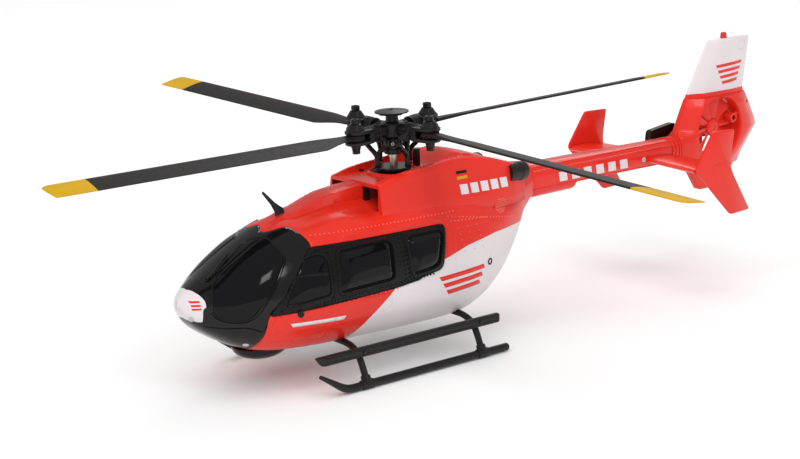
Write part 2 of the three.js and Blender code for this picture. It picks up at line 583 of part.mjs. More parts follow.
armAngles.forEach((angle, i) => {
  const arm = new THREE.Group();
  arm.rotation.z = deg(angle);
  head.add(arm);
  add(`blade_grip_${i + 1}`, grip, BLACK, arm);
  add(`blade_bolt_${i + 1}`, bolt, STEEL, arm);
  add(`pitch_link_${i + 1}`, pitchLink, BLACK, arm);
  const hinge = new THREE.Group();
  hinge.position.x = BOLT_RADIUS;
  hinge.rotation.set(0, 0, -deg(BLADE_SWING[i]));
  arm.add(hinge);
  const bent = blade.warp((p) => {
    const beyond = Math.max(p[0] - BEND_START, 0);
    p[2] -= beyond * Math.tan(deg(BLADE_DROOP[i]));
  });
  add(`main_blade_${i + 1}`, bent, BLACK, hinge);
});

// ---- swashplate ----
const swashZ = -SWASH_DROP;
add('swashplate_outer', cut(
  join(washer(8.2, 5.4, swashZ - 1, swashZ + 1.2), ...armAngles.map((angle) => turnedAbout(
    join(rod(V(7, -0.6, swashZ), V(LINK_RADIUS, -0.6, swashZ), 0.9, 8),
      rod(V(LINK_RADIUS, -0.6, swashZ - 1), V(LINK_RADIUS, -0.6, linkFoot + 0.1), 1.1, 8)), angle)))),
BLACK, head);
const SERVO_ANGLES = [0, 110, 250]; // degrees about the mast, from the nose
const SERVO_RADIUS = 8.6; // push rods from the mast axis
const SERVO_ARM = 6; // from a servo's pivot to its push rod
const SERVO = { front: 10.8, length: 8, low: -9, high: 4, bottom: -47.5, top: -37.6 };
const HORN_Z = SERVO.top - 1; // axis of a servo's output shaft
const lowerRing = washer(7.6, SHAFT_RADIUS + GAP, swashZ - 3.4, swashZ - 1.3);
const collar = washer(5.1, SHAFT_RADIUS + GAP, swashZ - 2, swashZ + 0.8);
const servoLinks = SERVO_ANGLES.map((angle) => turnedAbout(join(
  rod(V(6.5, 0, swashZ - 2.4), V(SERVO_RADIUS + 1, 0, swashZ - 2.4), 0.9, 8),
  rod(V(SERVO_RADIUS, 0, swashZ - 2.4), V(SERVO_RADIUS, 0, SERVO.top), 0.7, 8)), angle));
add('swashplate_inner', join(lowerRing, collar, ...servoLinks), BLACK, head);

// ---- drive: gear, pinion, motor, bearings and their frame ----
const DEDENDUM = 1.15; // tooth depth below and above the pitch circle, in modules
const ADDENDUM = 0.75;

function gearOutline(teeth, phase) {
  const pitch = (teeth * GEAR_MODULE) / 2;
  const [root, tip] = [pitch - DEDENDUM * GEAR_MODULE, pitch + ADDENDUM * GEAR_MODULE];
  const shape = new THREE.Shape();
  const step = (2 * Math.PI) / teeth;
  for (let i = 0; i < teeth; i += 1) {
    for (const [radius, share] of [[root, -0.3], [tip, -0.12], [tip, 0.12], [root, 0.3]]) {
      const angle = (i + share) * step + phase;
      const [x, y] = [radius * Math.cos(angle), radius * Math.sin(angle)];
      if (i === 0 && share < -0.2) shape.moveTo(x, y);
      else shape.lineTo(x, y);
    }
  }
  return shape;
}

function gearSolid(teeth, phase, z0, z1) {
  const settings = { depth: z1 - z0, bevelEnabled: false };
  return solid(new THREE.ExtrudeGeometry(gearOutline(teeth, phase), settings).translate(0, 0, z0));
}

const PINION_X = -((GEAR_TEETH + PINION_TEETH) * GEAR_MODULE) / 2;
const gearBody = cut(
  join(gearSolid(GEAR_TEETH, 0, GEAR.z0, GEAR.z1), rod(V(0, 0, GEAR.z1 - 0.1), V(0, 0, GEAR.z1 + 2.6), 4)),
  rod(V(0, 0, GEAR.z0 - 5), V(0, 0, GEAR.z1 + 5), SHAFT_RADIUS + PRESS, 20));
add('main_gear', gearBody, GEAR_WHITE, head);
const MOTOR = { shaft: 0.95, nose: 3.2, can: 8.5, floor: GEAR.z1 + 8 };
const pinion = cut(
  gearSolid(PINION_TEETH, Math.PI / PINION_TEETH, GEAR.z0 - 0.5, GEAR.z1 + 0.5),
  rod(V(0, 0, GEAR.z0 - 5), V(0, 0, GEAR.z1 + 5), MOTOR.shaft + 0.1, 10));
add('motor_pinion', pinion.translate([PINION_X, 0, 0]), STEEL, head);
add('main_motor', join(
  rod(V(PINION_X, 0, MOTOR.floor), V(PINION_X, 0, GEAR.z1 + 1.6), MOTOR.nose, 16),
  rod(V(PINION_X, 0, MOTOR.floor), V(PINION_X, 0, DECKS.upper - DECKS.thickness - GAP), MOTOR.can, 20),
  rod(V(PINION_X, 0, GEAR.z0 - 2), V(PINION_X, 0, GEAR.z1 + 2), MOTOR.shaft, 10)), STEEL, head);

const BEARING = { outer: 4, height: 1.6 };
for (const [name, z] of [['upper_bearing', DECKS.upper], ['lower_bearing', DECKS.lower]]) {
  add(name, washer(BEARING.outer, SHAFT_RADIUS + PRESS, z - BEARING.height, z), STEEL, head);
}
const deck = (z, half) => cut(
  block([DECKS.rear, DECKS.front], [-half, half], [z - DECKS.thickness, z]),
  rod(V(0, 0, z - 3), V(0, 0, z + 3), BEARING.outer + 0.1, 16));
const POSTS = { front: DECKS.front - 2.5, rear: DECKS.rear + 2.5, y: 10.5, radius: 1.6 };
const posts = [POSTS.front, POSTS.rear].flatMap((x) => [POSTS.y, -POSTS.y].map((y) => (
  rod(V(x, y, DECKS.lower - 0.1), V(x, y, DECKS.upper - 0.1), POSTS.radius, 8))));
const rodHoles = SERVO_ANGLES.map((angle) => turnedAbout(
  rod(V(SERVO_RADIUS, 0, DECKS.upper - 3), V(SERVO_RADIUS, 0, DECKS.upper + 2), 1.3, 8), angle));
const motorSeat = rod(V(PINION_X, 0, DECKS.upper - 3), V(PINION_X, 0, DECKS.upper + 1), 3, 12);
const guidePost = rod(V(POST.x, POST.y, DECKS.upper - 0.1), V(POST.x, POST.y, -11.8), POST.radius, 12);
add('main_frame', join(
  cut(deck(DECKS.upper, 12.5), ...rodHoles, motorSeat), deck(DECKS.lower, 14),
  ...posts, guidePost), BLACK, head);

// ---- servos, battery and flight board ----
SERVO_ANGLES.forEach((angle, i) => {
  const housing = block(
    [SERVO.front, SERVO.front + SERVO.length], [SERVO.low, SERVO.high], [SERVO.bottom, SERVO.top]);
  add(`servo_${i + 1}`, turnedAbout(housing, angle), GLOSS_BLACK, head);
  const arm = join(
    rod(V(SERVO_RADIUS - 0.6, -SERVO_ARM, HORN_Z), V(SERVO.front - GAP, -SERVO_ARM, HORN_Z), 1.4, 10),
    block([SERVO_RADIUS - 0.6, SERVO_RADIUS + 0.6], [-SERVO_ARM, 0.8], [HORN_Z - 0.6, HORN_Z + 0.6]));
  add(`servo_arm_${i + 1}`, turnedAbout(arm, angle), GEAR_WHITE, head);
});
const BATTERY = { rear: 36, length: 40, half: 13, bottom: 24, height: 14 };
const BOARD = { rear: 36, length: 30, half: 14, bottom: 42, height: 2.4 };
const packBlock = ({ rear, length, half, bottom, height }) => (
  block([rear, rear + length], [-half, half], [bottom, bottom + height]));
add('battery_pack', packBlock(BATTERY), BATTERY_BLUE);
add('flight_board', packBlock(BOARD), BOARD_GREEN);

const bounds = new THREE.Box3().setFromObject(model);
model.position.x = -(bounds.min.x + bounds.max.x) / 2;
model.updateMatrixWorld(true);

export default model;
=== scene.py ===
"""Looks of the helicopter scale model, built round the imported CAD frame.

Shapes are worked out in millimetres from the foot of the mast: +X to the nose, +Y to port, +Z up.
"""

import json
from math import atan2, copysign, cos, pi, radians, sin, sqrt, tan

import bmesh
import bpy
import numpy as np
from mathutils import Matrix, Vector
from mathutils.geometry import delaunay_2d_cdt


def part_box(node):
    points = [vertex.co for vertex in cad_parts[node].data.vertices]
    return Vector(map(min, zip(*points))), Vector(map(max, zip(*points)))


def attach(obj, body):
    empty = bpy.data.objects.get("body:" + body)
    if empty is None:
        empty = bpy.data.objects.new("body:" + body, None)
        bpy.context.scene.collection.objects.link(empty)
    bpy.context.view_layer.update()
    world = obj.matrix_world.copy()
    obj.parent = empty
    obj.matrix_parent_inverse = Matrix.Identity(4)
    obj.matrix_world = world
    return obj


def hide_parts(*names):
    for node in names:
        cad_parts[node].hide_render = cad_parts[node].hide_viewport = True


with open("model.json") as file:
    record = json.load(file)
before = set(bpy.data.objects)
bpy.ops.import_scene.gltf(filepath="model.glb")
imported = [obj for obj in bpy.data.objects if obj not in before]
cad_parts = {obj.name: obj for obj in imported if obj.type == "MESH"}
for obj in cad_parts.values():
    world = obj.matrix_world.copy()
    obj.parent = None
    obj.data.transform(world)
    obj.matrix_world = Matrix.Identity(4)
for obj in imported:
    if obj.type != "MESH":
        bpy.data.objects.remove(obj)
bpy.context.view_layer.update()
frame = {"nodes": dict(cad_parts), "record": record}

MM = 0.001
JOINTS = {joint["name"]: joint for joint in frame["record"]["behaviour"]["joints"]}
SIDES = (("left", 1), ("right", -1))
SHELL = 1.1  # wall of the body's skins
MAST_X = JOINTS["rotor_spin"]["pos_m"][0]
HUB_HEIGHT = JOINTS["rotor_spin"]["pos_m"][2] / MM
MAST = Vector(JOINTS["rotor_spin"]["axis"]).normalized()
ORIGIN = Matrix.Translation((MAST_X, 0, 0)) @ Matrix.Scale(MM, 4)
LEAN = Matrix.Rotation(atan2(MAST.x, MAST.z), 4, "Y")
HEAD = Matrix.Translation((MAST_X, 0, HUB_HEIGHT * MM)) @ LEAN @ Matrix.Scale(MM, 4)


def box_mm(node):
    """A CAD node's lowest and highest corners, in millimetres from the foot of the mast."""
    low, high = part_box(node)
    shift = Vector((MAST_X, 0, 0))
    return (low - shift) / MM, (high - shift) / MM


# ---------------------------------------------------------------- materials
class Nodes:
    """A short way to build one material's node tree."""

    def __init__(self, name):
        self.material = bpy.data.materials.new(name)
        self.material.use_nodes = True
        self.tree = self.material.node_tree
        self.shader = self.tree.nodes["Principled BSDF"]
        self.coordinates = self.add("ShaderNodeTexCoord").outputs["Object"]

    def add(self, kind, **values):
        node = self.tree.nodes.new(kind)
        for key, value in values.items():
            if hasattr(node, key):
                setattr(node, key, value)
            else:
                node.inputs[key].default_value = value
        return node

    def link(self, source, target):
        self.tree.links.new(source, target)

    def noise(self, scale, detail=3.0, stretch=(1, 1, 1)):
        mapping = self.add("ShaderNodeMapping")
        mapping.inputs["Scale"].default_value = stretch
        self.link(self.coordinates, mapping.inputs["Vector"])
        noise = self.add("ShaderNodeTexNoise", Scale=scale, Detail=detail)
        self.link(mapping.outputs["Vector"], noise.inputs["Vector"])
        return noise.outputs["Fac"]

    def spread(self, fac, low, high):
        """Maps a 0..1 value onto low..high."""
        ramp = self.add("ShaderNodeMapRange")
        for key, value in (("From Min", 0.3), ("From Max", 0.7), ("To Min", low), ("To Max", high)):
            ramp.inputs[key].default_value = value
        self.link(fac, ramp.inputs["Value"])
        return ramp.outputs["Result"]

    def colours(self, fac, first, second):
        mix = self.add("ShaderNodeMix", data_type="RGBA")
        mix.inputs[6].default_value = (*first, 1)
        mix.inputs[7].default_value = (*second, 1)
        self.link(fac, mix.inputs[0])
        return mix.outputs[2]

    def bump(self, height, distance, strength=0.5):
        node = self.add("ShaderNodeBump", Strength=strength, Distance=distance)
        self.link(height, node.inputs["Height"])
        self.link(node.outputs["Normal"], self.shader.inputs["Normal"])


def plastic(name, colour, roughness, grain, grain_size=9000, coat=0.0, shade=0.88, dust=0.03,
            sheen=0.5):
    """Moulded or painted plastic: slight tone variation, uneven gloss, fine surface grain."""
    nodes = Nodes(name)
    tone = nodes.spread(nodes.noise(60, 4), 0, 1)
    darker = tuple(c * shade for c in colour)
    nodes.link(nodes.colours(tone, darker, colour), nodes.shader.inputs["Base Color"])
    gloss = nodes.spread(nodes.noise(900, 4), roughness - dust, roughness + dust)
    nodes.link(gloss, nodes.shader.inputs["Roughness"])
    nodes.shader.inputs["Coat Weight"].default_value = coat
    nodes.shader.inputs["Specular IOR Level"].default_value = sheen
    nodes.shader.inputs["Coat Roughness"].default_value = 0.06
    nodes.bump(nodes.noise(grain_size, 2), grain * MM, 0.6)
    return nodes.material


def metal(name, colour, roughness):
    """Turned or drawn metal with fine tool marks."""
    nodes = Nodes(name)
    marks = nodes.noise(2600, 3, (1, 1, 25))
    darker = tuple(c * 0.8 for c in colour)
    nodes.link(nodes.colours(nodes.spread(marks, 0, 1), darker, colour), nodes.shader.inputs["Base Color"])
    nodes.link(nodes.spread(marks, roughness * 0.7, roughness * 1.3), nodes.shader.inputs["Roughness"])
    nodes.shader.inputs["Metallic"].default_value = 1
    nodes.bump(marks, 0.01 * MM, 0.4)
    return nodes.material


RED = plastic("red paint", (0.74, 0.024, 0.012), 0.28, 0.002, 3500, coat=0.12, shade=0.94, dust=0,
              sheen=0.32)
WHITE = plastic("white paint", (0.72, 0.665, 0.68), 0.32, 0.002, 3500, coat=0.2, shade=0.96, dust=0)
GLOSS = plastic("gloss black", (0.006, 0.005, 0.005), 0.14, 0.0006, 2500, sheen=0.30)
GLASS = plastic("tinted glazing", (0.004, 0.004, 0.005), 0.08, 0.0004, 2500, sheen=0.18)
TRIM = plastic("window trim", (0.007, 0.006, 0.006), 0.28, 0.003, 6000, sheen=0.18)
GEAR = plastic("gear plastic", (0.010, 0.009, 0.009), 0.38, 0.006, 6000, dust=0.06, sheen=0.30)
MOULDED = plastic("head plastic", (0.008, 0.007, 0.007), 0.36, 0.008, 7000, dust=0.06, sheen=0.28)
BLADE = plastic("blade plastic", (0.015, 0.011, 0.011), 0.46, 0.008, 6000, dust=0.06, sheen=0.13)
YELLOW = plastic("tip yellow", (0.60, 0.345, 0.006), 0.42, 0.008, 5000, sheen=0.08)
# A lighter copy of the red paint: painted highlight, for rivet heads and louvre slats catching the light.
HIGHLIGHT_RED = plastic("rivet heads", (0.86, 0.13, 0.10), 0.3, 0.002, 3500, coat=0.3)
DARK = plastic("shadow gap", (0.006, 0.005, 0.005), 0.7, 0.01)
# A darker copy of the red paint: painted shade, for the inner walls of the intake ducts.
SHADED_RED = plastic("red in painted shade", (0.34, 0.018, 0.024), 0.55, 0.012)
BEACON = plastic("beacon lens", (0.55, 0.020, 0.014), 0.12, 0.003, 3000, coat=0.8)
LENS = plastic("clear lamp", (0.45, 0.46, 0.48), 0.10, 0.003, 3000, coat=0.8)
NYLON = plastic("natural nylon", (0.70, 0.66, 0.56), 0.5, 0.01)
WRAP = plastic("heat shrink", (0.03, 0.09, 0.30), 0.3, 0.01)
BOARD = plastic("circuit board", (0.02, 0.13, 0.05), 0.5, 0.02)
SERVO = plastic("servo case", (0.016, 0.016, 0.018), 0.38, 0.01)
STEEL = metal("ground steel", (0.56, 0.53, 0.50), 0.26)
CAN = metal("motor can", (0.48, 0.47, 0.46), 0.34)


# ---------------------------------------------------------------- mesh helpers
def clean_mesh(name, vertices, faces, place, materials=(), indices=None):
    """A mesh in metres from points in millimetres, doubles merged and faces turned outwards."""
    mesh = bpy.data.meshes.new(name)
    mesh.from_pydata([tuple(v) for v in vertices], [], [tuple(f) for f in faces])
    for material in materials:
        mesh.materials.append(material)
    if indices is not None:
        mesh.polygons.foreach_set("material_index", np.asarray(indices, np.int32))
    mesh.transform(place)
    mesh.validate()
    tool = bmesh.new()
    tool.from_mesh(mesh)
    bmesh.ops.remove_doubles(tool, verts=tool.verts, dist=1e-7)
    bmesh.ops.recalc_face_normals(tool, faces=tool.faces)
    tool.to_mesh(mesh)
    tool.free()
    return mesh


def show(name, mesh):
    thing = bpy.data.objects.new(name, mesh)
    bpy.context.scene.collection.objects.link(thing)
    return thing


def smooth(mesh, sharp):
    """Smooth shading, with edges over the angle (in degrees) left crisp."""
    mesh.polygons.foreach_set("use_smooth", [True] * len(mesh.polygons))
    mesh.set_sharp_from_angle(angle=radians(sharp))


def piece(name, vertices, faces, materials, node=None, body="airframe", indices=None,
          place=ORIGIN, sharp=32):
    """A visible piece, given in millimetres, that rides on a body and may stand for a CAD node."""
    materials = materials if isinstance(materials, list) else [materials]
    mesh = clean_mesh(name, vertices, faces, place, materials, indices)
    smooth(mesh, sharp)
    thing = show(name, mesh)
    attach(thing, body)
    if node:
        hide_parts(node)
    return thing


def thicken(thing):
    """Gives a skin its wall, inwards."""
    shell = thing.modifiers.new("shell", "SOLIDIFY")
    shell.thickness = SHELL * MM
    shell.offset = -1


def carve(thing, form):
    """Cuts a form out of a piece."""
    cutter = show("cutter", clean_mesh("cutter", form.vertices, form.faces, ORIGIN))
    tool = thing.modifiers.new("cut", "BOOLEAN")
    tool.operation = "DIFFERENCE"
    tool.object = cutter
    tool.solver = "EXACT"
    bpy.context.view_layer.update()
    evaluated = thing.evaluated_get(bpy.context.evaluated_depsgraph_get())
    mesh = bpy.data.meshes.new_from_object(evaluated)
    thing.modifiers.clear()
    thing.data = mesh
    bpy.data.objects.remove(cutter)


def dress(node, material):
    """Shows a CAD node with a better finish."""
    for slot in frame["nodes"][node].material_slots:
        slot.material = material


def circle(sides):
    """The angles of a full turn in equal steps."""
    return [2 * pi * k / sides for k in range(sides)]


class Form:
    """Collects simple solids into one mesh."""

    def __init__(self):
        self.vertices, self.faces, self.indices = [], [], []

    def add(self, vertices, faces, material=0):
        base = len(self.vertices)
        self.vertices += [Vector(v) for v in vertices]
        self.faces += [[base + i for i in face] for face in faces]
        self.indices += [material] * len(faces)
        return self

    def loft(self, rings, material=0, closed=True, caps=True):
        size = len(rings[0])
        faces = []
        for r in range(len(rings) - 1):
            for j in range(size if closed else size - 1):
                k = (j + 1) % size
                faces.append([r * size + j, r * size + k, (r + 1) * size + k, (r + 1) * size + j])
        if caps:
            faces.append(list(range(size))[::-1])
            faces.append([(len(rings) - 1) * size + j for j in range(size)])
        return self.add([p for ring in rings for p in ring], faces, material)

    def turned(self, profile, start=(0, 0, 0), axis=(0, 0, 1), sides=32):
        """A profile of (radius, height) turned about an axis."""
        turn = Vector((0, 0, 1)).rotation_difference(Vector(axis).normalized())
        return self.loft([
            [Vector(start) + turn @ Vector((radius * cos(a), radius * sin(a), height)) for a in circle(sides)]
            for radius, height in profile])

    def rod(self, start, end, radius, end_radius=None, sides=20, soft=0.25):
        """A rod or cone with softened ends."""
        start, end = Vector(start), Vector(end)
        end_radius = radius if end_radius is None else end_radius
        length = (end - start).length
        soft = min(soft, length / 3, radius / 2, end_radius / 2)
        profile = [(radius - soft, 0), (radius - soft * 0.3, soft * 0.3), (radius, soft),
                   (end_radius, length - soft), (end_radius - soft * 0.3, length - soft * 0.3),
                   (end_radius - soft, length)]
        return self.turned(profile, start, end - start, sides)

    def tube(self, path, radius, sides):
        path = [Vector(p) for p in path]
        rings, normal = [], None
        for i, p in enumerate(path):
            along = (path[min(i + 1, len(path) - 1)] - path[max(i - 1, 0)]).normalized()
            normal = normal or along.orthogonal().normalized()
            normal = (normal - along * normal.dot(along)).normalized()
            side = along.cross(normal)
            rings.append([p + radius * (cos(a) * normal + sin(a) * side) for a in circle(sides)])
        return self.loft(rings)

    def block(self, low, high):
        xs, ys, zs = zip(low, high)
        corners = [(xs[i], ys[j], zs[k]) for i in (0, 1) for j in (0, 1) for k in (0, 1)]
        faces = [[0, 1, 3, 2], [4, 6, 7, 5], [0, 4, 5, 1], [2, 3, 7, 6], [0, 2, 6, 4], [1, 5, 7, 3]]
        return self.add(corners, faces)

    def dome(self, centre, normal, radius, height, sides=10):
        profile = [(radius, -0.2), (radius, 0), (radius * 0.8, height * 0.6), (radius * 0.35, height)]
        return self.turned(profile, centre, normal, sides)

    def plate(self, outline, layers, level=False):
        """A plate lofted through layers of (place across it, growth of the outline).

        The outline is in x and z, or in x and y where the plate lies level.
        """
        rings = [(place, offset(outline, growth)) for place, growth in layers]
        return self.loft([[Vector((x, v, place) if level else (x, place, v)) for x, v in ring]
                          for place, ring in rings])

    def copy(self, form, transform):
        return self.add([transform @ v for v in form.vertices], form.faces)

    def mirrored(self, hand):
        """The same form on the port side (1) or the starboard side (-1)."""
        if hand < 0:
            self.vertices = [Vector((v.x, -v.y, v.z)) for v in self.vertices]
            self.faces = [face[::-1] for face in self.faces]
        return self

    def make(self, name, materials, node=None, body="airframe", slot=None, place=ORIGIN, sharp=32):
        return piece(name, self.vertices, self.faces, materials, node, body,
                     self.indices, place, sharp)


# ---------------------------------------------------------------- outlines
def rounded(outline, radius, steps=6):
    """An outline with its corners rounded; radius may be a list, one for each corner."""
    points = [np.array(p, float) for p in outline]
    radii = radius if isinstance(radius, (list, tuple)) else [radius] * len(points)
    result = []
    for i, (corner, r) in enumerate(zip(points, radii)):
        before, after = points[i - 1] - corner, points[(i + 1) % len(points)] - corner
        reach = min(r, np.linalg.norm(before) * 0.49, np.linalg.norm(after) * 0.49)
        enter = corner + before / np.linalg.norm(before) * reach
        leave = corner + after / np.linalg.norm(after) * reach
        if reach < 0.05:
            result.append(corner)
            continue
        for t in np.linspace(0, 1, steps):
            result.append((1 - t) ** 2 * enter + 2 * t * (1 - t) * corner + t * t * leave)
    return np.array(result)


def smooth_line(points, steps=8):
    """A Catmull-Rom curve through the points."""
    p = [np.array(q, float) for q in points]
    p = [2 * p[0] - p[1]] + p + [2 * p[-1] - p[-2]]
    line = []
    for i in range(1, len(p) - 2):
        for t in np.linspace(0, 1, steps, endpoint=False):
            line.append(0.5 * ((2 * p[i]) + (p[i + 1] - p[i - 1]) * t
                               + (2 * p[i - 1] - 5 * p[i] + 4 * p[i + 1] - p[i + 2]) * t ** 2
                               + (3 * p[i] - p[i - 1] - 3 * p[i + 1] + p[i + 2]) * t ** 3))
    return np.array(line + [p[-2]])


def divided(line, step, closed=True):
    """The same line with points no further apart than step."""
    line = np.asarray(line, float)
    ends = np.roll(line, -1, 0) if closed else line[1:]
    result = []
    for a, b in zip(line, ends):
        count = max(1, int(np.ceil(np.linalg.norm(b - a) / step)))
        result += [a + (b - a) * k / count for k in range(count)]
    if not closed:
        result.append(line[-1])
    return np.array(result)


def turned_area(line):
    x, y = line[:, 0], line[:, 1]
    return 0.5 * np.sum(x * np.roll(y, -1) - np.roll(x, -1) * y)


def offset(line, distance, closed=True):
    """The line moved outwards (closed) or to its left (open) by the distance."""
    line = np.asarray(line, float)
    if closed:
        before, after = line - np.roll(line, 1, 0), np.roll(line, -1, 0) - line
        distance = distance * np.sign(turned_area(line)) * -1
    else:
        steps = np.diff(line, axis=0)
        before, after = np.vstack([steps[:1], steps]), np.vstack([steps, steps[-1:]])
    before = before / np.maximum(np.linalg.norm(before, axis=1, keepdims=True), 1e-9)
    after = after / np.maximum(np.linalg.norm(after, axis=1, keepdims=True), 1e-9)
    along = before + after
    length = np.maximum(np.linalg.norm(along, axis=1, keepdims=True), 0.6)
    normal = np.stack([-along[:, 1], along[:, 0]], 1) / length
    return line + normal * distance * (2 / length)


def inside(points, outline):
    """Which points lie inside the outline."""
    x, y = points[:, 0], points[:, 1]
    result = np.zeros(len(points), bool)
    for (ax, ay), (bx, by) in zip(outline, np.roll(outline, -1, 0)):
        crosses = (ay > y) != (by > y)
        with np.errstate(divide="ignore", invalid="ignore"):
            result ^= crosses & (x < (bx - ax) * (y - ay) / (by - ay) + ax)
    return result


def distance_to(points, line, closed=True):
    ends = np.roll(line, -1, 0) if closed else line[1:]
    starts = line if closed else line[:-1]
    best = np.full(len(points), 1e9)
    for a, b in zip(starts, ends):
        d = b - a
        t = np.clip(((points - a) @ d) / max(d @ d, 1e-12), 0, 1)
        best = np.minimum(best, np.linalg.norm(points - a - t[:, None] * d, axis=1))
    return best


# ---------------------------------------------------------------- fuselage surface
# Stations from nose to tail: x, roof, belly, half width, height of the widest line.
STATIONS = np.array([
    (117.1, 41.88, 41.72, 0.06, 41.8), (116.6, 43.6, 40.0, 2.6, 41.8), (115.2, 45.4, 37.2, 5.2, 41.8),
    (111.0, 48.8, 32.0, 10.0, 41.2), (104.5, 52.8, 26.9, 15.4, 40.8), (95.0, 59.0, 21.4, 20.7, 40.4),
    (84.0, 65.2, 17.6, 24.8, 40.0), (72.0, 70.4, 16.0, 27.4, 40.0), (56.0, 74.2, 15.0, 28.9, 40.0),
    (38.0, 78.6, 14.4, 29.3, 40.0), (15.0, 79.8, 13.9, 29.3, 40.0), (-5.0, 79.8, 13.6, 29.2, 40.0),
    (-20.0, 79.6, 13.8, 28.5, 41.0), (-34.0, 79.0, 17.0, 26.2, 44.0), (-48.0, 77.8, 24.3, 22.0, 49.0),
    (-58.0, 77.4, 32.9, 17.8, 54.0), (-66.0, 76.6, 42.2, 14.1, 60.0), (-71.5, 75.8, 50.7, 11.3, 64.0),
    (-80.0, 74.8, 58.0, 7.9, 66.5)])[::-1]
ROOF_POWER = 1.95
BELLY_POWER = 3
TURN_SCALE = 50.0  # one quarter of a section is about this long
GAP = 0.3
BODY_FRONT, BODY_REAR = 117.1, -80.0


def through(xs, ys, x):
    """A smooth curve through the points that adds no humps of its own."""
    h = np.diff(xs)
    slope = np.diff(ys) / h
    m = np.zeros(len(xs))
    same = slope[:-1] * slope[1:] > 0
    w1, w2 = 2 * h[1:] + h[:-1], h[1:] + 2 * h[:-1]
    with np.errstate(divide="ignore", invalid="ignore"):
        m[1:-1] = np.where(same, (w1 + w2) / (w1 / slope[:-1] + w2 / slope[1:]), 0)
    m[0], m[-1] = slope[0], slope[-1]
    x = np.clip(x, xs[0], xs[-1])
    i = np.clip(np.searchsorted(xs, x) - 1, 0, len(xs) - 2)
    t = (x - xs[i]) / h[i]
    return ((2 * t ** 3 - 3 * t ** 2 + 1) * ys[i] + (t ** 3 - 2 * t ** 2 + t) * h[i] * m[i]
            + (3 * t ** 2 - 2 * t ** 3) * ys[i + 1] + (t ** 3 - t ** 2) * h[i] * m[i + 1])


def section(x):
    return [through(STATIONS[:, 0], STATIONS[:, k], x) for k in (1, 2, 3, 4)]


def surface(x, turn):
    """The point of the port skin at station x; turn is -1 at the keel, 1 at the roof."""
    roof, belly, half, waist = section(x)
    angle = np.clip(turn, -1, 1) * pi / 2
    power = 2 / np.where(angle > 0, ROOF_POWER, BELLY_POWER)
    height = np.where(angle > 0, roof - waist, waist - belly)
    s, c = np.abs(np.sin(angle)), np.maximum(np.cos(angle), 0)
    return np.stack([x, half * c ** power, waist + np.sign(angle) * height * s ** power], -1)


def unrolled(points):
    """Side-view points (x, z) as (x, length round the section)."""
    points = np.asarray(points, float)
    x = np.clip(points[:, 0], BODY_REAR, BODY_FRONT)
    roof, belly, _, waist = section(x)
    rise = points[:, 1] - waist
    height = np.where(rise > 0, roof - waist, waist - belly)
    power = np.where(rise > 0, ROOF_POWER, BELLY_POWER) / 2
    share = np.clip(np.abs(rise) / np.maximum(height, 0.01), 0, 1)
    return np.stack([x, np.sign(rise) * np.arcsin(share ** power) / (pi / 2) * TURN_SCALE], 1)


def unrolled_top(points):
    """Plan-view points (x, y) on the roof as (x, length round the section)."""
    points = np.asarray(points, float)
    half = section(points[:, 0])[2]
    share = np.clip(points[:, 1] / half, 0, 1)
    return np.stack([points[:, 0], np.arccos(share ** (ROOF_POWER / 2)) / (pi / 2) * TURN_SCALE], 1)


def skin_points(flat, lift=0.0):
    """Unrolled points put back on the skin, lifted along its normal."""
    x, turn = flat[:, 0], flat[:, 1] / TURN_SCALE
    e = 0.02
    at = surface(x, turn)
    turn_in = np.clip(turn, -0.995, 0.995)
    fore = surface(np.minimum(x + 0.3, BODY_FRONT), turn_in) - surface(x - 0.3, turn_in)
    up = surface(x, np.minimum(turn_in + e, 1)) - surface(x, np.maximum(turn_in - e, -1))
    normal = np.cross(up, fore)
    normal[np.abs(turn) > 0.9999, 1] = 0
    normal /= np.maximum(np.linalg.norm(normal, axis=1, keepdims=True), 1e-9)
    away = at - np.array([0, 0, 40.0])
    normal *= np.where(np.sum(normal * away * [0, 1, 1], axis=1) < 0, -1, 1)[:, None]
    return at + normal * np.reshape(lift, (-1, 1)), normal


class Relief:
    """One moulded feature: a raised or sunk area, or a groove, in unrolled coordinates."""

    def __init__(self, line, height, width=0.5, crown=0.0, closed=True, crown_reach=6.0):
        self.line = divided(line, 0.8, closed)
        self.height, self.width, self.crown = height, width, crown
        self.closed, self.crown_reach = closed, crown_reach

    def edges(self):
        if self.closed:
            return [(self.line, True), (offset(self.line, -self.width), True)]
        return [(self.line, False), (offset(self.line, self.width), False),
                (offset(self.line, -self.width), False)]

    def lift(self, points):
        away = distance_to(points, self.line, self.closed)
        if not self.closed:
            return self.height * np.clip(1 - away / (self.width * 0.98), 0, 1)
        within = inside(points, self.line)
        ramp = np.clip(away / (self.width * 0.98), 0, 1)
        deep = np.clip((away - self.width) / self.crown_reach, 0, 1)
        return np.where(within, self.height * ramp + self.crown * (1 - (1 - deep) ** 2), 0)


def values_at(rows, key):
    """The columns of a table at a value of its first column."""
    return [np.interp(key, rows[:, 0], rows[:, k]) for k in range(1, rows.shape[1])]


# Plan-view line (x, y) of the raised beam's edge.
CREASE = [(80, 0.4), (74, 2.6), (57, 5.4), (42, 5.8), (24, 5.2), (5, 5.2)]
CREASE_STEP = 1.1  # width of the step down from the beam


def fade(value):
    return np.clip(value, 0, 1)


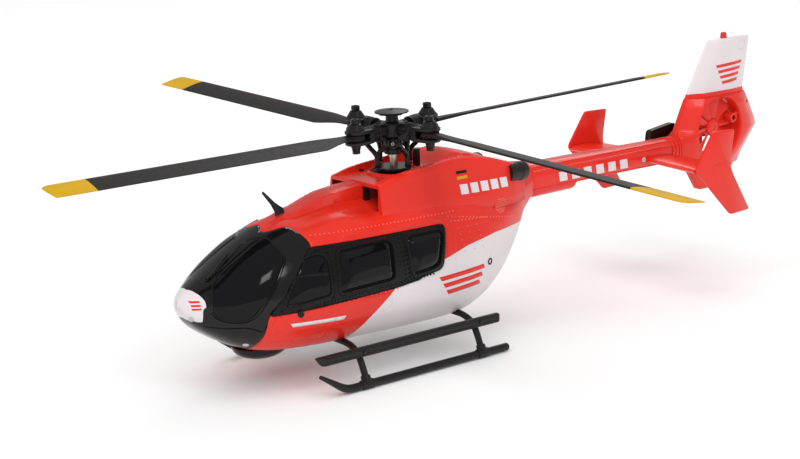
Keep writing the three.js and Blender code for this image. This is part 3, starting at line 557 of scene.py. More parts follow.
class Shoulder:
    """The roof sinks beside the raised beam that runs back to the intakes."""

    def edges(self):
        line = smooth_line(CREASE, 8)
        return [(unrolled_top(line + [0, shift]), False) for shift in (0.0, CREASE_STEP)]

    def lift(self, points):
        on_roof = points[:, 1] > 0
        x, y = surface(points[:, 0], points[:, 1] / TURN_SCALE).T[:2]
        rows = np.array(CREASE)[::-1]
        beyond = np.where(on_roof, np.abs(y) - np.interp(x, rows[:, 0], rows[:, 1]), 0)
        near_intake = fade((48 - x) / 22)
        depth = (4.6 + 0.7 * near_intake) * fade((74 - x) / 50) * fade((x + 8) / 20)
        fall = fade((beyond - 5 - 3 * near_intake) / 9)
        fall = fall * fall * (3 - 2 * fall)
        step = fade(beyond / CREASE_STEP)
        rise = np.where(on_roof, 1.2 * fade((66 - x) / 36) * (1 - step), 0)
        return rise - depth * step * (1 - fall)


def skin(name, outline, materials, node, zones=(), reliefs=(), holes=(), cell=1.3,
         both_sides=False, hand=1, lift=0.0):
    """A piece of fuselage shell. Zones are (unrolled outline, material index), later ones win."""
    vertices, edges = [], []

    def constrain(line, closed):
        base = len(vertices)
        vertices.extend(Vector(p) for p in line)
        count = len(line)
        edges.extend((base + i, base + (i + 1) % count) for i in range(count if closed else count - 1))

    outline = divided(outline, 0.9)
    constrain(outline, True)
    holes = [divided(hole, 0.9) for hole in holes]
    for hole in holes:
        constrain(hole, True)
    zones = [(divided(line, 0.9), index) for line, index in zones]
    for line, _ in zones:
        constrain(line, True)
    for relief in reliefs:
        for line, closed in relief.edges():
            constrain(line, closed)
    low, high = outline.min(0), outline.max(0)
    grid = np.stack(np.meshgrid(np.arange(low[0] + cell / 2, high[0], cell),
                                np.arange(low[1] + cell / 2, high[1], cell)), -1).reshape(-1, 2)
    grid[:, 1] += (np.round(grid[:, 0] / cell) % 2) * cell / 2
    grid = grid[inside(grid, outline)]
    lines = [outline, *holes, *[line for line, _ in zones]]
    near = np.min([distance_to(grid, line) for line in lines], axis=0)
    vertices.extend(Vector(p) for p in grid[near > cell * 0.4])
    found = delaunay_2d_cdt(vertices, edges, [], 0, 1e-5)
    flat = np.array([tuple(v) for v in found[0]])
    triangles = np.array([f for f in found[2]])
    middle = flat[triangles].mean(1)
    keep = inside(middle, outline)
    for hole in holes:
        keep &= ~inside(middle, hole)
    triangles, middle = triangles[keep], middle[keep]
    indices = np.zeros(len(triangles), int)
    for line, index in zones:
        indices[inside(middle, line)] = index
    height = np.full(len(flat), float(lift))
    for relief in reliefs:
        height += relief.lift(flat)
    points, _ = skin_points(flat, height)
    used = np.unique(triangles)
    order = {v: i for i, v in enumerate(used)}
    points = points[used]
    faces = [[order[v] for v in triangle] for triangle in triangles]
    if both_sides:
        count = len(points)
        points = np.vstack([points, points * [1, -1, 1]])
        faces = faces + [[v + count for v in face[::-1]] for face in faces]
        indices = np.concatenate([indices, indices])
    points[:, 1] *= hand
    if hand < 0:
        faces = [face[::-1] for face in faces]
    thing = piece(name, points, faces, materials, node, indices=indices)
    thicken(thing)
    first = thing.data.polygons[0]
    if first.normal.dot(first.center - Vector((MAST_X, 0, 0.045))) < 0:
        thing.data.flip_normals()
    return thing


# ---------------------------------------------------------------- fuselage
BAND = [(64.6, 61.4), (-9, 60.8), (-4, 42), (21, 38.4), (87.6, 36.2)]
DOOR_WINDOW = [(72.5, 54.5), (68.5, 57.5), (60.5, 58.6), (57.6, 56.6), (58.4, 41.2), (81.5, 39.0)]
SLIDING_WINDOW = [(52.2, 58.4), (25.6, 59.2), (23.6, 56.8), (24.6, 42.2), (54.6, 41.2)]
REAR_WINDOW = [(15.4, 58.8), (-4.6, 58.8), (-5.8, 56.6), (-1.6, 44.6), (2.2, 43.0), (14.0, 42.2)]


def side_zone(points, radius=0.0):
    return unrolled(divided(rounded(points, radius), 1.0))


def seam_line():
    """The edge of the black nose from the roof to the keel, unrolled."""
    tongue = smooth_line([
        (74.6, 0), (75.4, 1.8), (76.8, 3.6), (77.2, 5.2), (75.8, 7.0), (72, 8.8), (67.8, 10.2)], 5)
    brow = smooth_line([(66.2, 68.6), (64.6, 66.8), (63.2, 64.2), (62.7, 61.9)], 4)
    lower = smooth_line([(87.9, 34.6), (88.2, 31.6), (89.0, 27.5), (90.2, 24), (90.4, 20), (89, 5)], 4)
    front = divided([(63.9, 61.0), (87.0, 36.6)], 1.0, False)
    return np.vstack([unrolled_top(tongue), unrolled(brow), unrolled(front), unrolled(lower)])


def nose_outline():
    return np.vstack([seam_line(), [(BODY_FRONT, -TURN_SCALE), (BODY_FRONT, TURN_SCALE)]])


def cabin_outline():
    seam = seam_line()
    seam[:, 0] -= GAP * 0.7
    return np.vstack([seam, [(BODY_REAR, -TURN_SCALE), (BODY_REAR, TURN_SCALE)]])


def pane(points, radius, rim=0.55, rise=1.3, slope=2.2, crown=0.3):
    """A pane that bulges out with sloping edges, inside a raised rim."""
    line = side_zone(points, radius)
    return [Relief(offset(line, 1.3), rim, 0.45), Relief(line, -rim, 0.35),
            Relief(offset(line, -0.5), rise, slope, crown, crown_reach=6.0)]


def build_nose():
    windshield = smooth_line([
        (78, 66.4), (76.4, 62.5), (75.6, 59), (78.5, 55), (84.5, 47), (91, 38.5), (94.5, 35.6), (98.5, 34.8),
        (104.5, 35.8), (107.6, 38.5), (108.2, 41.2), (106.3, 48), (100.5, 54.2), (92, 60.2), (84, 64.8),
        (78, 66.4)], 5)[:-1]
    windshield = unrolled(divided(windshield, 0.9))
    lower = unrolled(divided(smooth_line([(90.4, 30), (96, 32.2), (103, 32.4), (110, 33.5)], 6), 0.9, False))
    reliefs = [
        Relief(offset(windshield, 0.5), -0.45, 0.45),
        Relief(offset(windshield, -0.4), 0.55, 0.5, 0.5, crown_reach=8),
        Relief(lower, -0.35, 0.5, closed=False),
    ]
    edge = unrolled([(111.0, 47.2), (109.8, 44.4), (109.8, 42.2), (110.9, 40.4), (110.9, 35.6),
                     (113.2, 35.8)])
    plate = np.vstack([[(112.3, TURN_SCALE)], rounded(edge, [1, 0.8, 0.8, 1, 1, 0.5], 4),
                       [(114.7, -TURN_SCALE), (BODY_FRONT, -TURN_SCALE), (BODY_FRONT, TURN_SCALE)]])
    zones = [(offset(windshield, -0.7), 1), (plate, 2)]
    for k in range(3):
        bar = [(114.6 - k * 0.2, 44.4 - k * 1.5), (111.5 - k * 0.1, 44.6 - k * 1.5),
               (111.4 - k * 0.1, 43.8 - k * 1.5), (114.4 - k * 0.2, 43.5 - k * 1.5)]
        zones.append((unrolled(divided(bar, 0.6)), 3))
    skin("nose_canopy_skin", nose_outline(), [GLOSS, GLASS, WHITE, RED], "nose_canopy",
         zones, reliefs, cell=1.1, both_sides=True)


def hatch(points, radius, depth, width, inset):
    """The shallow groove round a door or hatch."""
    line = side_zone(points, radius)
    return [Relief(line, -depth, width), Relief(offset(line, -inset), depth, width)]


def build_cabin(side, hand):
    band_hole = side_zone([(x + (0 if i else 0.3), z) for i, (x, z) in enumerate(BAND)], 3)
    band_hole = offset(band_hole, GAP)
    white = unrolled(divided([
        (21.5, 39.5), (24.5, 37.0), (30.5, 32.5), (37.5, 27.0), (44.5, 20.0), (49, 12), (49, 2), (-82, 2),
        (-82, 51.2), (-67, 51.2), (-53, 51.8), (-40, 51.8), (-21, 49.8), (-4.5, 45.6), (2, 41)], 1.0))
    door = [(59.2, 62.2), (57.4, 60.4), (57.9, 39.5), (60.5, 21.5), (86.5, 24), (87.2, 30), (84, 35.6)]
    reliefs = [
        Shoulder(),
        *hatch(door, 2, 0.18, 0.35, 0.6),
        *hatch([(25.6, 38.0), (24.4, 30.2), (27.6, 28.2), (55.2, 27.6), (56.6, 38.2)], 2, 0.16, 0.3, 0.55),
        *hatch([(-33, 36), (-42, 51), (-36, 57.5), (-14, 58), (-11.5, 40)], 2.4, 0.16, 0.3, 0.55),
        Relief(unrolled(divided([(46, 63.6), (-20, 62.6)], 1.0, False)), 0.3, 0.8, closed=False),
        Relief(offset(band_hole, 1.1), -0.25, 0.8),
    ]
    skin(f"cabin_skin_{side}", cabin_outline(), [RED, WHITE], f"cabin_shell_{side}",
         [(white, 1)], reliefs, [band_hole], 1.3, hand=hand)


def build_windows(side, hand):
    frames = ([(56.4, 60.6), (21.2, 60.8), (20.6, 39.6), (57.2, 38.2)],
              [(17.0, 60.4), (-7.0, 60.2), (-7.8, 57.4), (-3.2, 43.0), (15.8, 40.4)])
    reliefs = [
        *pane(DOOR_WINDOW, [3, 2.5, 2, 2, 2, 3], rise=0.35, slope=0.6, crown=0.4),
        *pane(SLIDING_WINDOW, 2.4, rim=0.8, rise=1.9, slope=3.0),
        *pane(REAR_WINDOW, [3, 2, 3, 2, 2, 2], rim=0.8, rise=1.6, slope=2.4),
        *[Relief(side_zone(points, 1.5), height, 0.4) for points, height in zip(frames, (0.35, 0.3))],
        Relief(unrolled(divided([(74.6, 51.4), (58.4, 50.6)], 0.8, False)), 0.22, 0.4, closed=False),
    ]
    zones = [(offset(side_zone(points, 2.2), -0.7), 1)
             for points in (DOOR_WINDOW, SLIDING_WINDOW, REAR_WINDOW)]
    skin(f"window_band_{side}", side_zone(BAND, 3), [TRIM, GLASS], f"window_panel_{side}",
         zones, reliefs, cell=0.9, hand=hand, lift=0.15)


def on_side(x, z, hand=1, lift=0.0):
    """The skin's point and outward direction at a side-view place."""
    points, normals = skin_points(unrolled([(x, z)]), lift)
    return Vector(points[0] * [1, hand, 1]), Vector(normals[0] * [1, hand, 1])


def rivet_rows(side, hand):
    """Rows of small rivet heads on the shell and on the window band."""

    def rows(name, material, placed):
        form = Form()
        for start, end, spacing, radius, height, lift in placed:
            start, end = np.array(start, float), np.array(end, float)
            count = max(2, int(np.linalg.norm(end - start) / spacing))
            for k in range(count + 1):
                x, z = start + (end - start) * k / count
                form.dome(*on_side(x, z, hand, lift), radius, height)
        form.make(name, material)

    large, small, raised = (0.40, 0.32, 0.0), (0.26, 0.16, 0.0), (0.36, 0.34, 0.4)
    # The shell's rivet heads take the lighter red, a painted highlight.
    rows(f"shell_rivets_{side}", HIGHLIGHT_RED, [
        ((60.5, 65.6), (-16, 65.0), 2.1, *large), ((-13, 61.2), (-35, 59.6), 2.1, *large),
        ((-12, 63.4), (-62, 55.0), 2.2, *large), ((56.6, 36.8), (22.5, 37.4), 2.4, *small),
        *[((x, 57.6), (x - 2, 47.4), 2.4, *small) for x in (-16, -22, -28)]])
    rows(f"band_rivets_{side}", TRIM, [(start, end, 1.8, *raised) for start, end in (
        ((18.9, 58.8), (17.8, 41.2)), ((16.9, 58.8), (15.7, 41.6)), ((56.9, 58.6), (57.6, 40.0)),
        ((62, 60.2), (-7, 60.0)), ((82, 37.8), (2, 40.6)))])


def build_locks(side, hand):
    """Door locks and the fuel cap."""
    locks = Form()
    for x, z in ((73.5, 35.4), (35.6, 40.2)):
        at, normal = on_side(x, z, hand)
        profile = [(1.5, -0.5), (1.5, 0.35), (1.25, 0.55), (0.8, 0.55), (0.75, 0.2), (0.1, 0.2)]
        locks.turned(profile, at, normal, 24)
        along = Vector((1, 0, 0.1)).cross(normal).normalized()
        locks.tube([at + normal * 0.45 - along * 0.9, at + normal * 0.45 + along * 0.9], 0.28, 8)
    locks.make(f"door_locks_{side}", GEAR)
    profile = [(1.55, -0.6), (1.55, 0.25), (1.2, 0.42), (0.95, 0.25), (0.9, -0.6), (0.05, -0.6)]
    Form().turned(profile, *on_side(-35, 39.2, hand), 24).make(f"side_port_{side}", DARK)


def patch(name, points, material, hand):
    """A thin painted mark lying on the skin."""
    thing = skin(name, side_zone(points), [material], None, cell=1.5, hand=hand, lift=0.1)
    thing.modifiers["shell"].thickness = 0.2 * MM


def build_marks(side, hand):
    """Plain bars that stand for the operator's marks."""
    for k in range(3):
        rise = 38.2 - k * 3.4
        patch(f"side_stripe_{side}_{k + 1}", [
            (-1.5 - k * 2.2, rise), (-30 + k * 1.5, rise + 1.0), (-31.2 + k * 1.5, rise - 1.0),
            (-3 - k * 2.2, rise - 2.0)], RED, hand)
    patch(f"door_stripe_{side}", [(78, 31.8), (50.6, 30.8), (51.8, 29.2), (77, 30.2)], WHITE, hand)


def build_nose_details():
    lamps = Form()
    for hand in (1, -1):
        profile = [(1.5, -1.0), (1.5, -0.05), (1.2, 0.15), (0.7, 0.25), (0.2, 0.28)]
        lamps.turned(profile, *on_side(93.6, 23.4, hand), 24)
    lamps.turned([(1.2, -0.6), (1.2, 0.3), (0.8, 0.6), (0.1, 0.7)], *on_side(113.9, 36.6), 20)
    lamps.make("nose_lamps", LENS)
    wiper = Form()
    for x, z in ((105.0, 51.4), (103.4, 52.5)):
        at, normal = on_side(x, z)
        at.y = max(at.y, 0) * 0.8
        wiper.turned([(1.1, -0.5), (1.1, 0.7), (0.8, 1.1), (0.1, 1.2)], at, normal, 18)
    route = [(105, 51.6), (101.5, 54.0), (97, 57.2), (93.4, 59.6)]
    wiper.tube([on_side(x, z, 1, 1.0)[0] for x, z in route], 0.42, 10)
    for shift in (0, 0.75):
        blade = [(100.6 - i * 2.9, 54.2 - shift + i * 1.92 - 0.04 * i * i) for i in range(8)]
        wiper.tube([on_side(x, z, 1, 0.75)[0] for x, z in blade], 0.24, 8)
    wiper.make("wiper", TRIM, slot="gloss_black")


# ---------------------------------------------------------------- roof cowling
# Stations from nose to tail: x, ridge, half width at the ridge, half width at the foot.
COWL = np.array([
    (22, 81.6, 17.3, 19.5), (12, 84.0, 17.3, 20.0), (-7, 86.0, 17.3, 20.8), (-24, 87.8, 17.3, 21.2),
    (-38, 86.2, 17.3, 21.0), (-56, 81.4, 17.0, 19.5), (-66, 77.8, 15.4, 16.8)])[::-1]
COWL_FOOT = 62.0
COWL_FRONT = 22.0


def cowl_at(x):
    return [through(COWL[:, 0], COWL[:, k], np.array([float(x)]))[0] for k in (1, 2, 3)]


def cowl_section(x, inset=0.0):
    """Half of the cowling's section, from the foot up to the ridge, as (y, z)."""
    ridge, half, foot = cowl_at(x)
    corner = [(foot - inset, COWL_FOOT), (foot - 0.4 - inset, 68.5), (half + 0.7 - inset, ridge - 5),
              (half - inset, ridge - 0.4 - inset), (half - 3.2, ridge - inset)]
    return [tuple(p) for p in rounded(corner, [0, 3, 4, 1.5, 0], 5)]


def cowl_y(x, z):
    """Half width of the cowling at a height on its side."""
    points = cowl_section(x)
    return float(np.interp(z, [p[1] for p in points], [p[0] for p in points]))


def ramp(value):
    return min(max(value, 0), 1)


def build_cowling():
    """The raised engine cowling, open in front over the mast, with a deck between its ridges."""
    form = Form()
    rings = []
    for x in np.concatenate([[COWL_FRONT], np.linspace(21.2, -65.4, 52), [-66.0]]):
        outer = cowl_section(x)
        ridge = outer[-1][1]
        blend = ramp((-18 - x) / 14)
        closing = blend * blend * (3 - 2 * blend)
        low = 81.2 - (x - COWL_FRONT) * 0.032
        crown = 0.9 - 1.8 * ramp((-34 - x) / 16)
        floor = low * (1 - closing) + (cowl_at(x)[0] + crown) * closing
        inner = 14.2 - 1.2 * blend
        drop = [(inner, max(ridge - 0.4, floor)), (inner - 0.5, max(ridge - 1.2 - 2 * (1 - blend), floor)),
                (inner - 0.7, floor), (8, floor + 0.5 * blend), (4, floor + 0.7 * blend),
                (0.0, floor + 0.8 * blend)]
        port = outer + drop
        rings.append([Vector((x, y, z)) for y, z in port + [(-y, z) for y, z in port[-2::-1]]])
    form.loft(rings, closed=False, caps=False)
    thicken(form.make("roof_cowling_skin", RED, "roof_cowling", sharp=38))


def sticker(form, corners, width_at, hand, material=0, lift=0.16, steps=8):
    """A thin mark that follows a side face; corners are (x, z) in order, width_at gives y."""
    a, b, c, d = [np.array(p, float) for p in corners]
    rows = []
    for v in np.linspace(0, 1, 4):
        rows.append([(a + (b - a) * u) * (1 - v) + (d + (c - d) * u) * v
                     for u in np.linspace(0, 1, steps)])
    outer, inner = ([[Vector((x, (width_at(x, z) + out) * hand, z)) for x, z in row] for row in rows]
                    for out in (lift, -0.3))
    form.loft([top + bottom[::-1] for top, bottom in zip(outer, inner)], material)


def build_intakes():
    """The ducts behind the two openings in the cowling's front face, and that face."""
    face = Form()
    rings = []
    for x in (21.2, 22.1):
        outer = [(y, z) for y, z in cowl_section(COWL_FRONT, 0.15) if z < 81.0]
        ring = [(0.0, 64), *outer, (13, 80.6), (7, 81.0), (0, 81.2)]
        rings.append([Vector((x, y, z)) for y, z in ring + [(-y, z) for y, z in ring[-2:0:-1]]])
    for side, hand in SIDES:
        duct = Form().block((7, 4.6, 69.0), (21.9, 17.2, 80.3)).mirrored(hand)
        # The duct walls take the darker red, painted shade in the recess.
        carve(duct.make(f"intake_duct_{side}", SHADED_RED),
              Form().block((8, 5.4, 69.8), (23, 16.3, 79.5)).mirrored(hand))
        strip = Form().block((19.0, 5.4, 69.8), (21.7, 6.7, 79.5)).mirrored(hand)
        strip.make(f"intake_strip_{side}", DARK)
    front = face.loft(rings).make("cowling_front", RED)
    for hand in (1, -1):
        carve(front, Form().block((20, 5.4, 69.8), (23, 16.3, 79.5)).mirrored(hand))


def build_roof_details():
    holes = Form()
    for x, y in ((8, -12.6), (8, 12.6), (-20, 1.9)):
        profile = [(1.1, -0.6), (1.1, 0.12), (0.9, 0.16), (0.85, -0.5), (0.05, -0.5)]
        holes.turned(profile, (x, y, 82.3), sides=20)
    holes.make("deck_holes", DARK)
    well = (-1, 0, 82.1)
    collar = [(13, -2.2), (12.6, 0.4), (11.6, 0.9), (11.2, 0.4), (11.2, -2.2)]
    Form().turned(collar, well, sides=48).make("mast_collar", RED)
    floor = [(11.2, -0.4), (11.2, 0.0), (0.05, 0.0)]
    Form().turned(floor, well, sides=48).make("mast_well_floor", DARK)
    louvre = Form()
    for k in range(9):
        z = 59.6 + k * 0.74
        half = 3.9 * sqrt(max(1 - ((k - 4) / 4.7) ** 2, 0.05))
        for hand in (1, -1):
            route = [(x, (max(cowl_y(x, z) if z > COWL_FOOT else 0, on_side(x, z)[0].y) + 0.08) * hand, z)
                     for x in np.linspace(-47 - half, -47 + half, 7)]
            louvre.tube(route, 0.26, 6)
    # The louvre slats take the lighter red, a painted highlight.
    louvre.make("cowling_louvres", HIGHLIGHT_RED)
    rivets, marks, bars = Form(), Form(), Form()
    for hand in (1, -1):
        for k in range(30):
            x = 17 - k * 2.6
            y, z = cowl_section(x)[-1]
            rivets.dome((x, (y + 0.6) * hand, z - 0.02), (0, 0, 1), 0.3, 0.2)
        for y, z in cowl_section(-27)[2:11]:
            rivets.dome((-27, y * hand, z), (0, hand, 0.2), 0.28, 0.2)
        for k in range(5):
            x, z = -22.5 - k * 6.3, 75.7 - k * 0.12
            corners = [(x, z), (x - 4.6, z - 0.2), (x - 5.1, z - 4.7), (x - 0.5, z - 4.5)]
            sticker(marks, corners, cowl_y, hand)
        for top, bottom, material in ((81.7, 80.5, 0), (79.3, 78.0, 1)):
            corners = [(-21.6, top), (-27.8, top), (-27.8, bottom), (-21.6, bottom)]
            sticker(bars, corners, cowl_y, hand, material)
    rivets.make("cowling_rivets", RED)
    marks.make("cowling_marks", WHITE)
    bars.make("cowling_bars", [TRIM, YELLOW], slot="gear_black")


def build_exhausts():
    for side, hand in SIDES:
        start, end = Vector((-53, 15.9 * hand, 75.9)), Vector((-66, 15.2 * hand, 75.7))
        length = (end - start).length
        profile = [(3.0, 2.0), (4.3, 2.0), (4.3, length - 4.2), (4.5, length - 4.0), (4.5, length - 0.4),
                   (4.3, length), (3.75, length), (3.55, length - 0.4), (3.5, length - 7),
                   (0.05, length - 7)]
        Form().turned(profile, start, end - start, 40).make(f"exhaust_pipe_{side}", GEAR, f"exhaust_{side}")


def build_antenna_and_pod():
    rings = []
    for x0, x1, z, half in ((60.9, 66.0, 72.4, 1.4), (61.3, 65.7, 73.9, 1.1), (63.3, 66.3, 75.2, 0.7),
                            (65.9, 67.9, 77.6, 0.5), (68.9, 70.3, 80.6, 0.4), (71.6, 72.3, 83.1, 0.26)):
        slope = 0.9 * (1 if z < 76 else 0.5)
        rings.append([Vector(((x0 + x1) / 2 + (x1 - x0) / 2 * cos(a), half * sin(a), z - slope * cos(a)))
                      for a in circle(16)])
    Form().loft(rings).make("blade_antenna", GEAR, "roof_antenna")
    rings = []
    for a in np.linspace(0, pi / 2, 9):
        flare = cos(a) ** 0.8
        length, half = (13 * flare, 11 * flare) if a < 1.5 else (0, 0.01)
        rings.append([Vector((76 + length * cos(b), half * sin(b), 17.4 - 5.9 * sin(a)))
                      for b in circle(40)])
    Form().loft(rings).make("belly_pod", GLOSS, "belly_sensor_pod")


# ---------------------------------------------------------------- tail
BOOM_END = -186.5
OVAL_POWER = 0.72


def oval(x, half, bottom, top):
    """A section of the boom, between an oval and a box."""
    middle, tall = (bottom + top) / 2, (top - bottom) / 2
    return [Vector((x, half * copysign(abs(cos(a)) ** OVAL_POWER, cos(a)),
                    middle + tall * copysign(abs(sin(a)) ** OVAL_POWER, sin(a)))) for a in circle(36)]


def build_boom():
    stations = [
        (-78.5, 7.4, 58.8, 74.2), (-80.3, 7.95, 58.0, 74.6), (-94, 7.7, 58.2, 74.5),
        (-108.6, 7.5, 58.4, 74.4), (-109.6, 7.5, 58.6, 74.4), (-111.0, 7.5, 61.3, 74.35),
        (-130, 7.2, 61.4, 74.2), (-150, 6.8, 61.5, 74.0), (-170, 6.4, 61.5, 73.85),
        (BOOM_END, 6.2, 61.4, 73.8)]
    form = Form().loft([oval(*station) for station in stations])
    form.make("tail_boom_skin", RED, "tail_boom", sharp=40)
    ribs, bars = Form(), Form()
    for hand in (1, -1):
        for z in (73.3, 71.4, 62.9):
            route = []
            for x, half, bottom, top in stations[1:]:
                share = (z - (bottom + top) / 2) / ((top - bottom) / 2)
                y = half * max(1 - abs(share) ** (2 / OVAL_POWER), 0.02) ** (OVAL_POWER / 2)
                route.append((x, (y - 0.12) * hand, z))
            ribs.tube(route, 0.5, 8)
        for k in range(6):
            x, y = -97 - k * 8.6, 7.72 - k * 8.6 * 0.014
            corners = [(x, 69.2), (x - 5.2, 69.2), (x - 6.0, 64.6), (x - 0.8, 64.6)]
            sticker(bars, corners, lambda *_: y - 0.1, hand)
    for ahead in (6.4, 3.7, 1.0):
        ring = oval(BOOM_END + ahead, 6.35, 61.25, 73.95)
        ribs.tube(ring + ring[:1], 0.5, 8)
    ribs.make("boom_ribs", RED)
    bars.make("boom_marks", WHITE)
    lamp = [(1.3, -0.6), (1.3, 0.2), (0.9, 0.6), (0.2, 0.75)]
    Form().turned(lamp, (-158, 6.7, 67), PORT, 20).make("boom_lamp", LENS)


def aerofoil(front, rear, y, z, half):
    """A closed section in x and z."""
    upper = []
    for t in np.linspace(0, 1, 15):
        t = t * t * (3 - 2 * t) * 0.5 + t * 0.5
        upper.append((front + (rear - front) * t, half * (2.6 * sqrt(t) - 2.3 * t - 0.18 * t * t) + 0.12))
    return [Vector((x, y, z + thick)) for x, thick in upper] + \
        [Vector((x, y, z - thick)) for x, thick in upper[::-1]]


def build_stabiliser():
    low, high = box_mm("horizontal_stabilizer")
    root = 6
    rings = []
    for share in np.linspace(-1, 1, 17):
        out = max(abs(high.y * share) - root, 0) / (high.y - root)
        rings.append(aerofoil(-160 + 5.5 * out, -180.5 + 1.5 * out, high.y * share,
                              (low.z + high.z) / 2, 2.0))
    Form().loft(rings).make("stabiliser_skin", RED, "horizontal_stabilizer", sharp=45)
    plate = rounded([(-166.7, 84.6), (-182.6, 84.3), (-179.6, 66.2), (-195.6, 41.9), (-181.3, 41.2),
                     (-154, 67.2)], [1.2, 1.2, 6, 1.5, 1.5, 3], 6)
    for side, hand in SIDES:
        outer, inner = 44.2 * hand, 42.8 * hand
        form = Form().plate(plate, [(inner, -0.5), (inner + 0.25 * hand, 0), (outer - 0.3 * hand, 0),
                                    (outer, -0.7)])
        form.make(f"end_plate_skin_{side}", RED, f"end_plate_{side}")
        trim = Form().tube([(-168, outer, 68.0), (-176.5, outer, 67.7)], 0.3, 8)
        trim.dome((-163.5, outer - 0.1 * hand, 68.1), (0, hand, 0), 0.6, 0.4, 12)
        trim.make(f"end_plate_crease_{side}", RED)


# Levels of the fin: z, front, rear, half width of the front edge, greatest half width.
FIN_LOWER = np.array([
    (55.3, -199.2, -236.8, 1.4, 5.5), (61.2, -186.8, -240.6, 5.2, 7.6), (71.0, -186.8, -249.0, 5.2, 8),
    (73.9, -187.4, -251.2, 4.6, 8), (77.0, -188.2, -250.2, 1.5, 8), (88.3, -193.6, -244.0, 1.3, 8),
    (92.6, -195.8, -241.2, 1.2, 7.2)])
FIN_UPPER = np.array([
    (91.0, -195.2, -241.2, 0.8, 4.2), (95.0, -196.9, -239.8, 0.8, 4.0), (121.6, -212.2, -244.2, 0.6, 2.6)])
FIN_WHITE_FROM = 95.0
DUCT = Vector((-215.0, 0, 76.0))
DUCT_RADIUS = 16.4
PORT = Vector((0, 1, 0))


def fin_ring(z, front, rear, edge, half):
    """A rounded plan section of the fin."""
    corner = [(front, edge), (front - 9, half), (rear + 12, half), (rear, 1.4)]
    line = corner + [(x, -y) for x, y in corner[::-1]]
    radii = [0.5 + edge * 0.25, 1.8, 5, 0.9]
    return [Vector((x, y, z)) for x, y in rounded(line, radii + radii[::-1], 5)]


def fin_y(x, z):
    """Half width of the upper fin at a point on its side."""
    front, rear, edge, half = values_at(FIN_UPPER, z)
    return float(np.interp(x, [rear, rear + 12, front - 9, front], [1.4, half, half, edge]))


def build_fin():
    levels = sorted(set(np.round(np.concatenate([FIN_LOWER[:, 0], np.linspace(55.3, 92.6, 26)]), 2)))
    lower = Form().loft([fin_ring(z, *values_at(FIN_LOWER, z)) for z in levels])
    thing = lower.make("fin_lower_skin", RED, "fin_housing", sharp=36)
    flare = [(2.2, -9.5), (0.9, -7.4), (0.15, -6.4), (0, -5), (0, 6.4), (0.15, 7.2), (0.6, 7.9), (2.2, 9.6)]
    carve(thing, Form().turned([(DUCT_RADIUS + out, y) for out, y in flare], DUCT, PORT, 72))
    smooth(thing.data, 36)
    rings = []
    for z in (91.0, 93.0, FIN_WHITE_FROM, FIN_WHITE_FROM + 0.01, 100, 105, 110, 115, 119, 120.8, 121.6):
        front, rear, edge, half = values_at(FIN_UPPER, z)
        if z > 121:
            front, rear, edge, half = front - 0.8, rear + 0.8, edge * 0.6, half * 0.75
        rings.append(fin_ring(z, front, rear, edge, half))
    upper = Form().loft(rings)
    for i, face in enumerate(upper.faces):
        middle = sum(upper.vertices[v].z for v in face) / len(face)
        upper.indices[i] = int(middle > FIN_WHITE_FROM + 0.005)
    upper.make("fin_upper_skin", [RED, WHITE], sharp=36)
    outline = rounded([(-196, 58), (-206, 43.6), (-226, 43.6), (-236, 58)], [0, 2, 2, 0], 6)
    ventral = Form().plate(outline, [(-1.6, -0.5), (-1.2, 0), (1.2, 0), (1.6, -0.5)])
    ventral.make("ventral_fin_skin", RED)


def build_duct_details():
    stator = Form()
    stator.turned([(5.6, -7.9), (5.6, -3.0), (5.2, -2.6), (4.5, -2.6), (4.5, -7.0), (0.05, -7.0),
                   (0.05, -7.9)], DUCT, PORT, 40)
    for angle in (30, 150, 270):
        arm = Vector((cos(radians(angle)), 0, sin(radians(angle))))
        centre = DUCT - PORT * 5.6
        stator.rod(centre + arm * 5.1, centre + arm * (DUCT_RADIUS + 1.2), 0.95, sides=14)
    stator.make("duct_stator", RED)
    at = Vector((-225.4, 7.4, 80.4))
    boss = Form().turned([(2.3, -3.6), (2.5, -3), (2.5, 0.3), (2.2, 0.6), (1.5, 0.6), (1.4, 0.3),
                          (1.4, -2), (0.05, -2)], at, PORT, 28)
    outward = Vector((at.x - DUCT.x, 0, at.z - DUCT.z)).normalized()
    start = Vector((at.x, 5.6, at.z)) + outward * 2.2
    boss.rod(start, DUCT + PORT * 5.6 + outward * (DUCT_RADIUS + 0.8), 1.1, sides=14)
    boss.make("duct_boss", RED)
    bore = Form().turned([(1.35, -1.9), (1.35, -0.3), (0.05, -0.3)], at, PORT, 24)
    bore.make("duct_boss_bore", DARK)
    hatch_line, screws, marks = Form(), Form(), Form()
    corners = [(-234.2, 115.2), (-239.4, 115.2), (-239.8, 119.6), (-234.8, 119.6)]
    for hand in (1, -1):
        hatch_line.tube([(x, (fin_y(x, z) + 0.05) * hand, z) for x, z in corners + corners[:1]], 0.2, 8)
        for x, z in ((-203.5, 90.0), (-199, 66), (-236, 88)):
            screws.dome((x, 7.6 * hand, z), PORT * hand, 0.8, 0.5, 14)
        for k in range(4):
            z, shift = 108.4 - k * 2.9, k * 1.4
            stripe = [(-215.5 - shift, z), (-237 + shift, z + 1.0), (-236.6 + shift, z - 0.5),
                      (-216.4 - shift, z - 1.5)]
            sticker(marks, stripe, fin_y, hand, lift=0.12, steps=14)
    hatch_line.make("fin_hatch", WHITE)
    screws.make("duct_screws", RED)
    marks.make("fin_stripes", RED)


def build_beacon_and_fairing():
    low, high = box_mm("beacon_lamp")
    tall = high.z - low.z
    profile = [(1.9, 0), (1.9, 0.5), (1.7, 0.7), (1.65, 1.9), (1.4, 2.6), (0.8, tall - 0.1), (0.1, tall)]
    beacon = Form().turned(profile, ((low.x + high.x) / 2, 0, low.z), sides=28)
    beacon.make("beacon_dome", BEACON, "beacon_lamp")
    outline = rounded([(-179, 69), (-180, 77), (-198, 79.4), (-198, 69)], 2, 6)
    fairing = Form().plate(outline, [(-13.2, -1.2), (-12.7, -0.4), (-11.8, 0), (-8.5, 0)])
    fairing.make("fairing_skin", GLOSS, "duct_fairing")


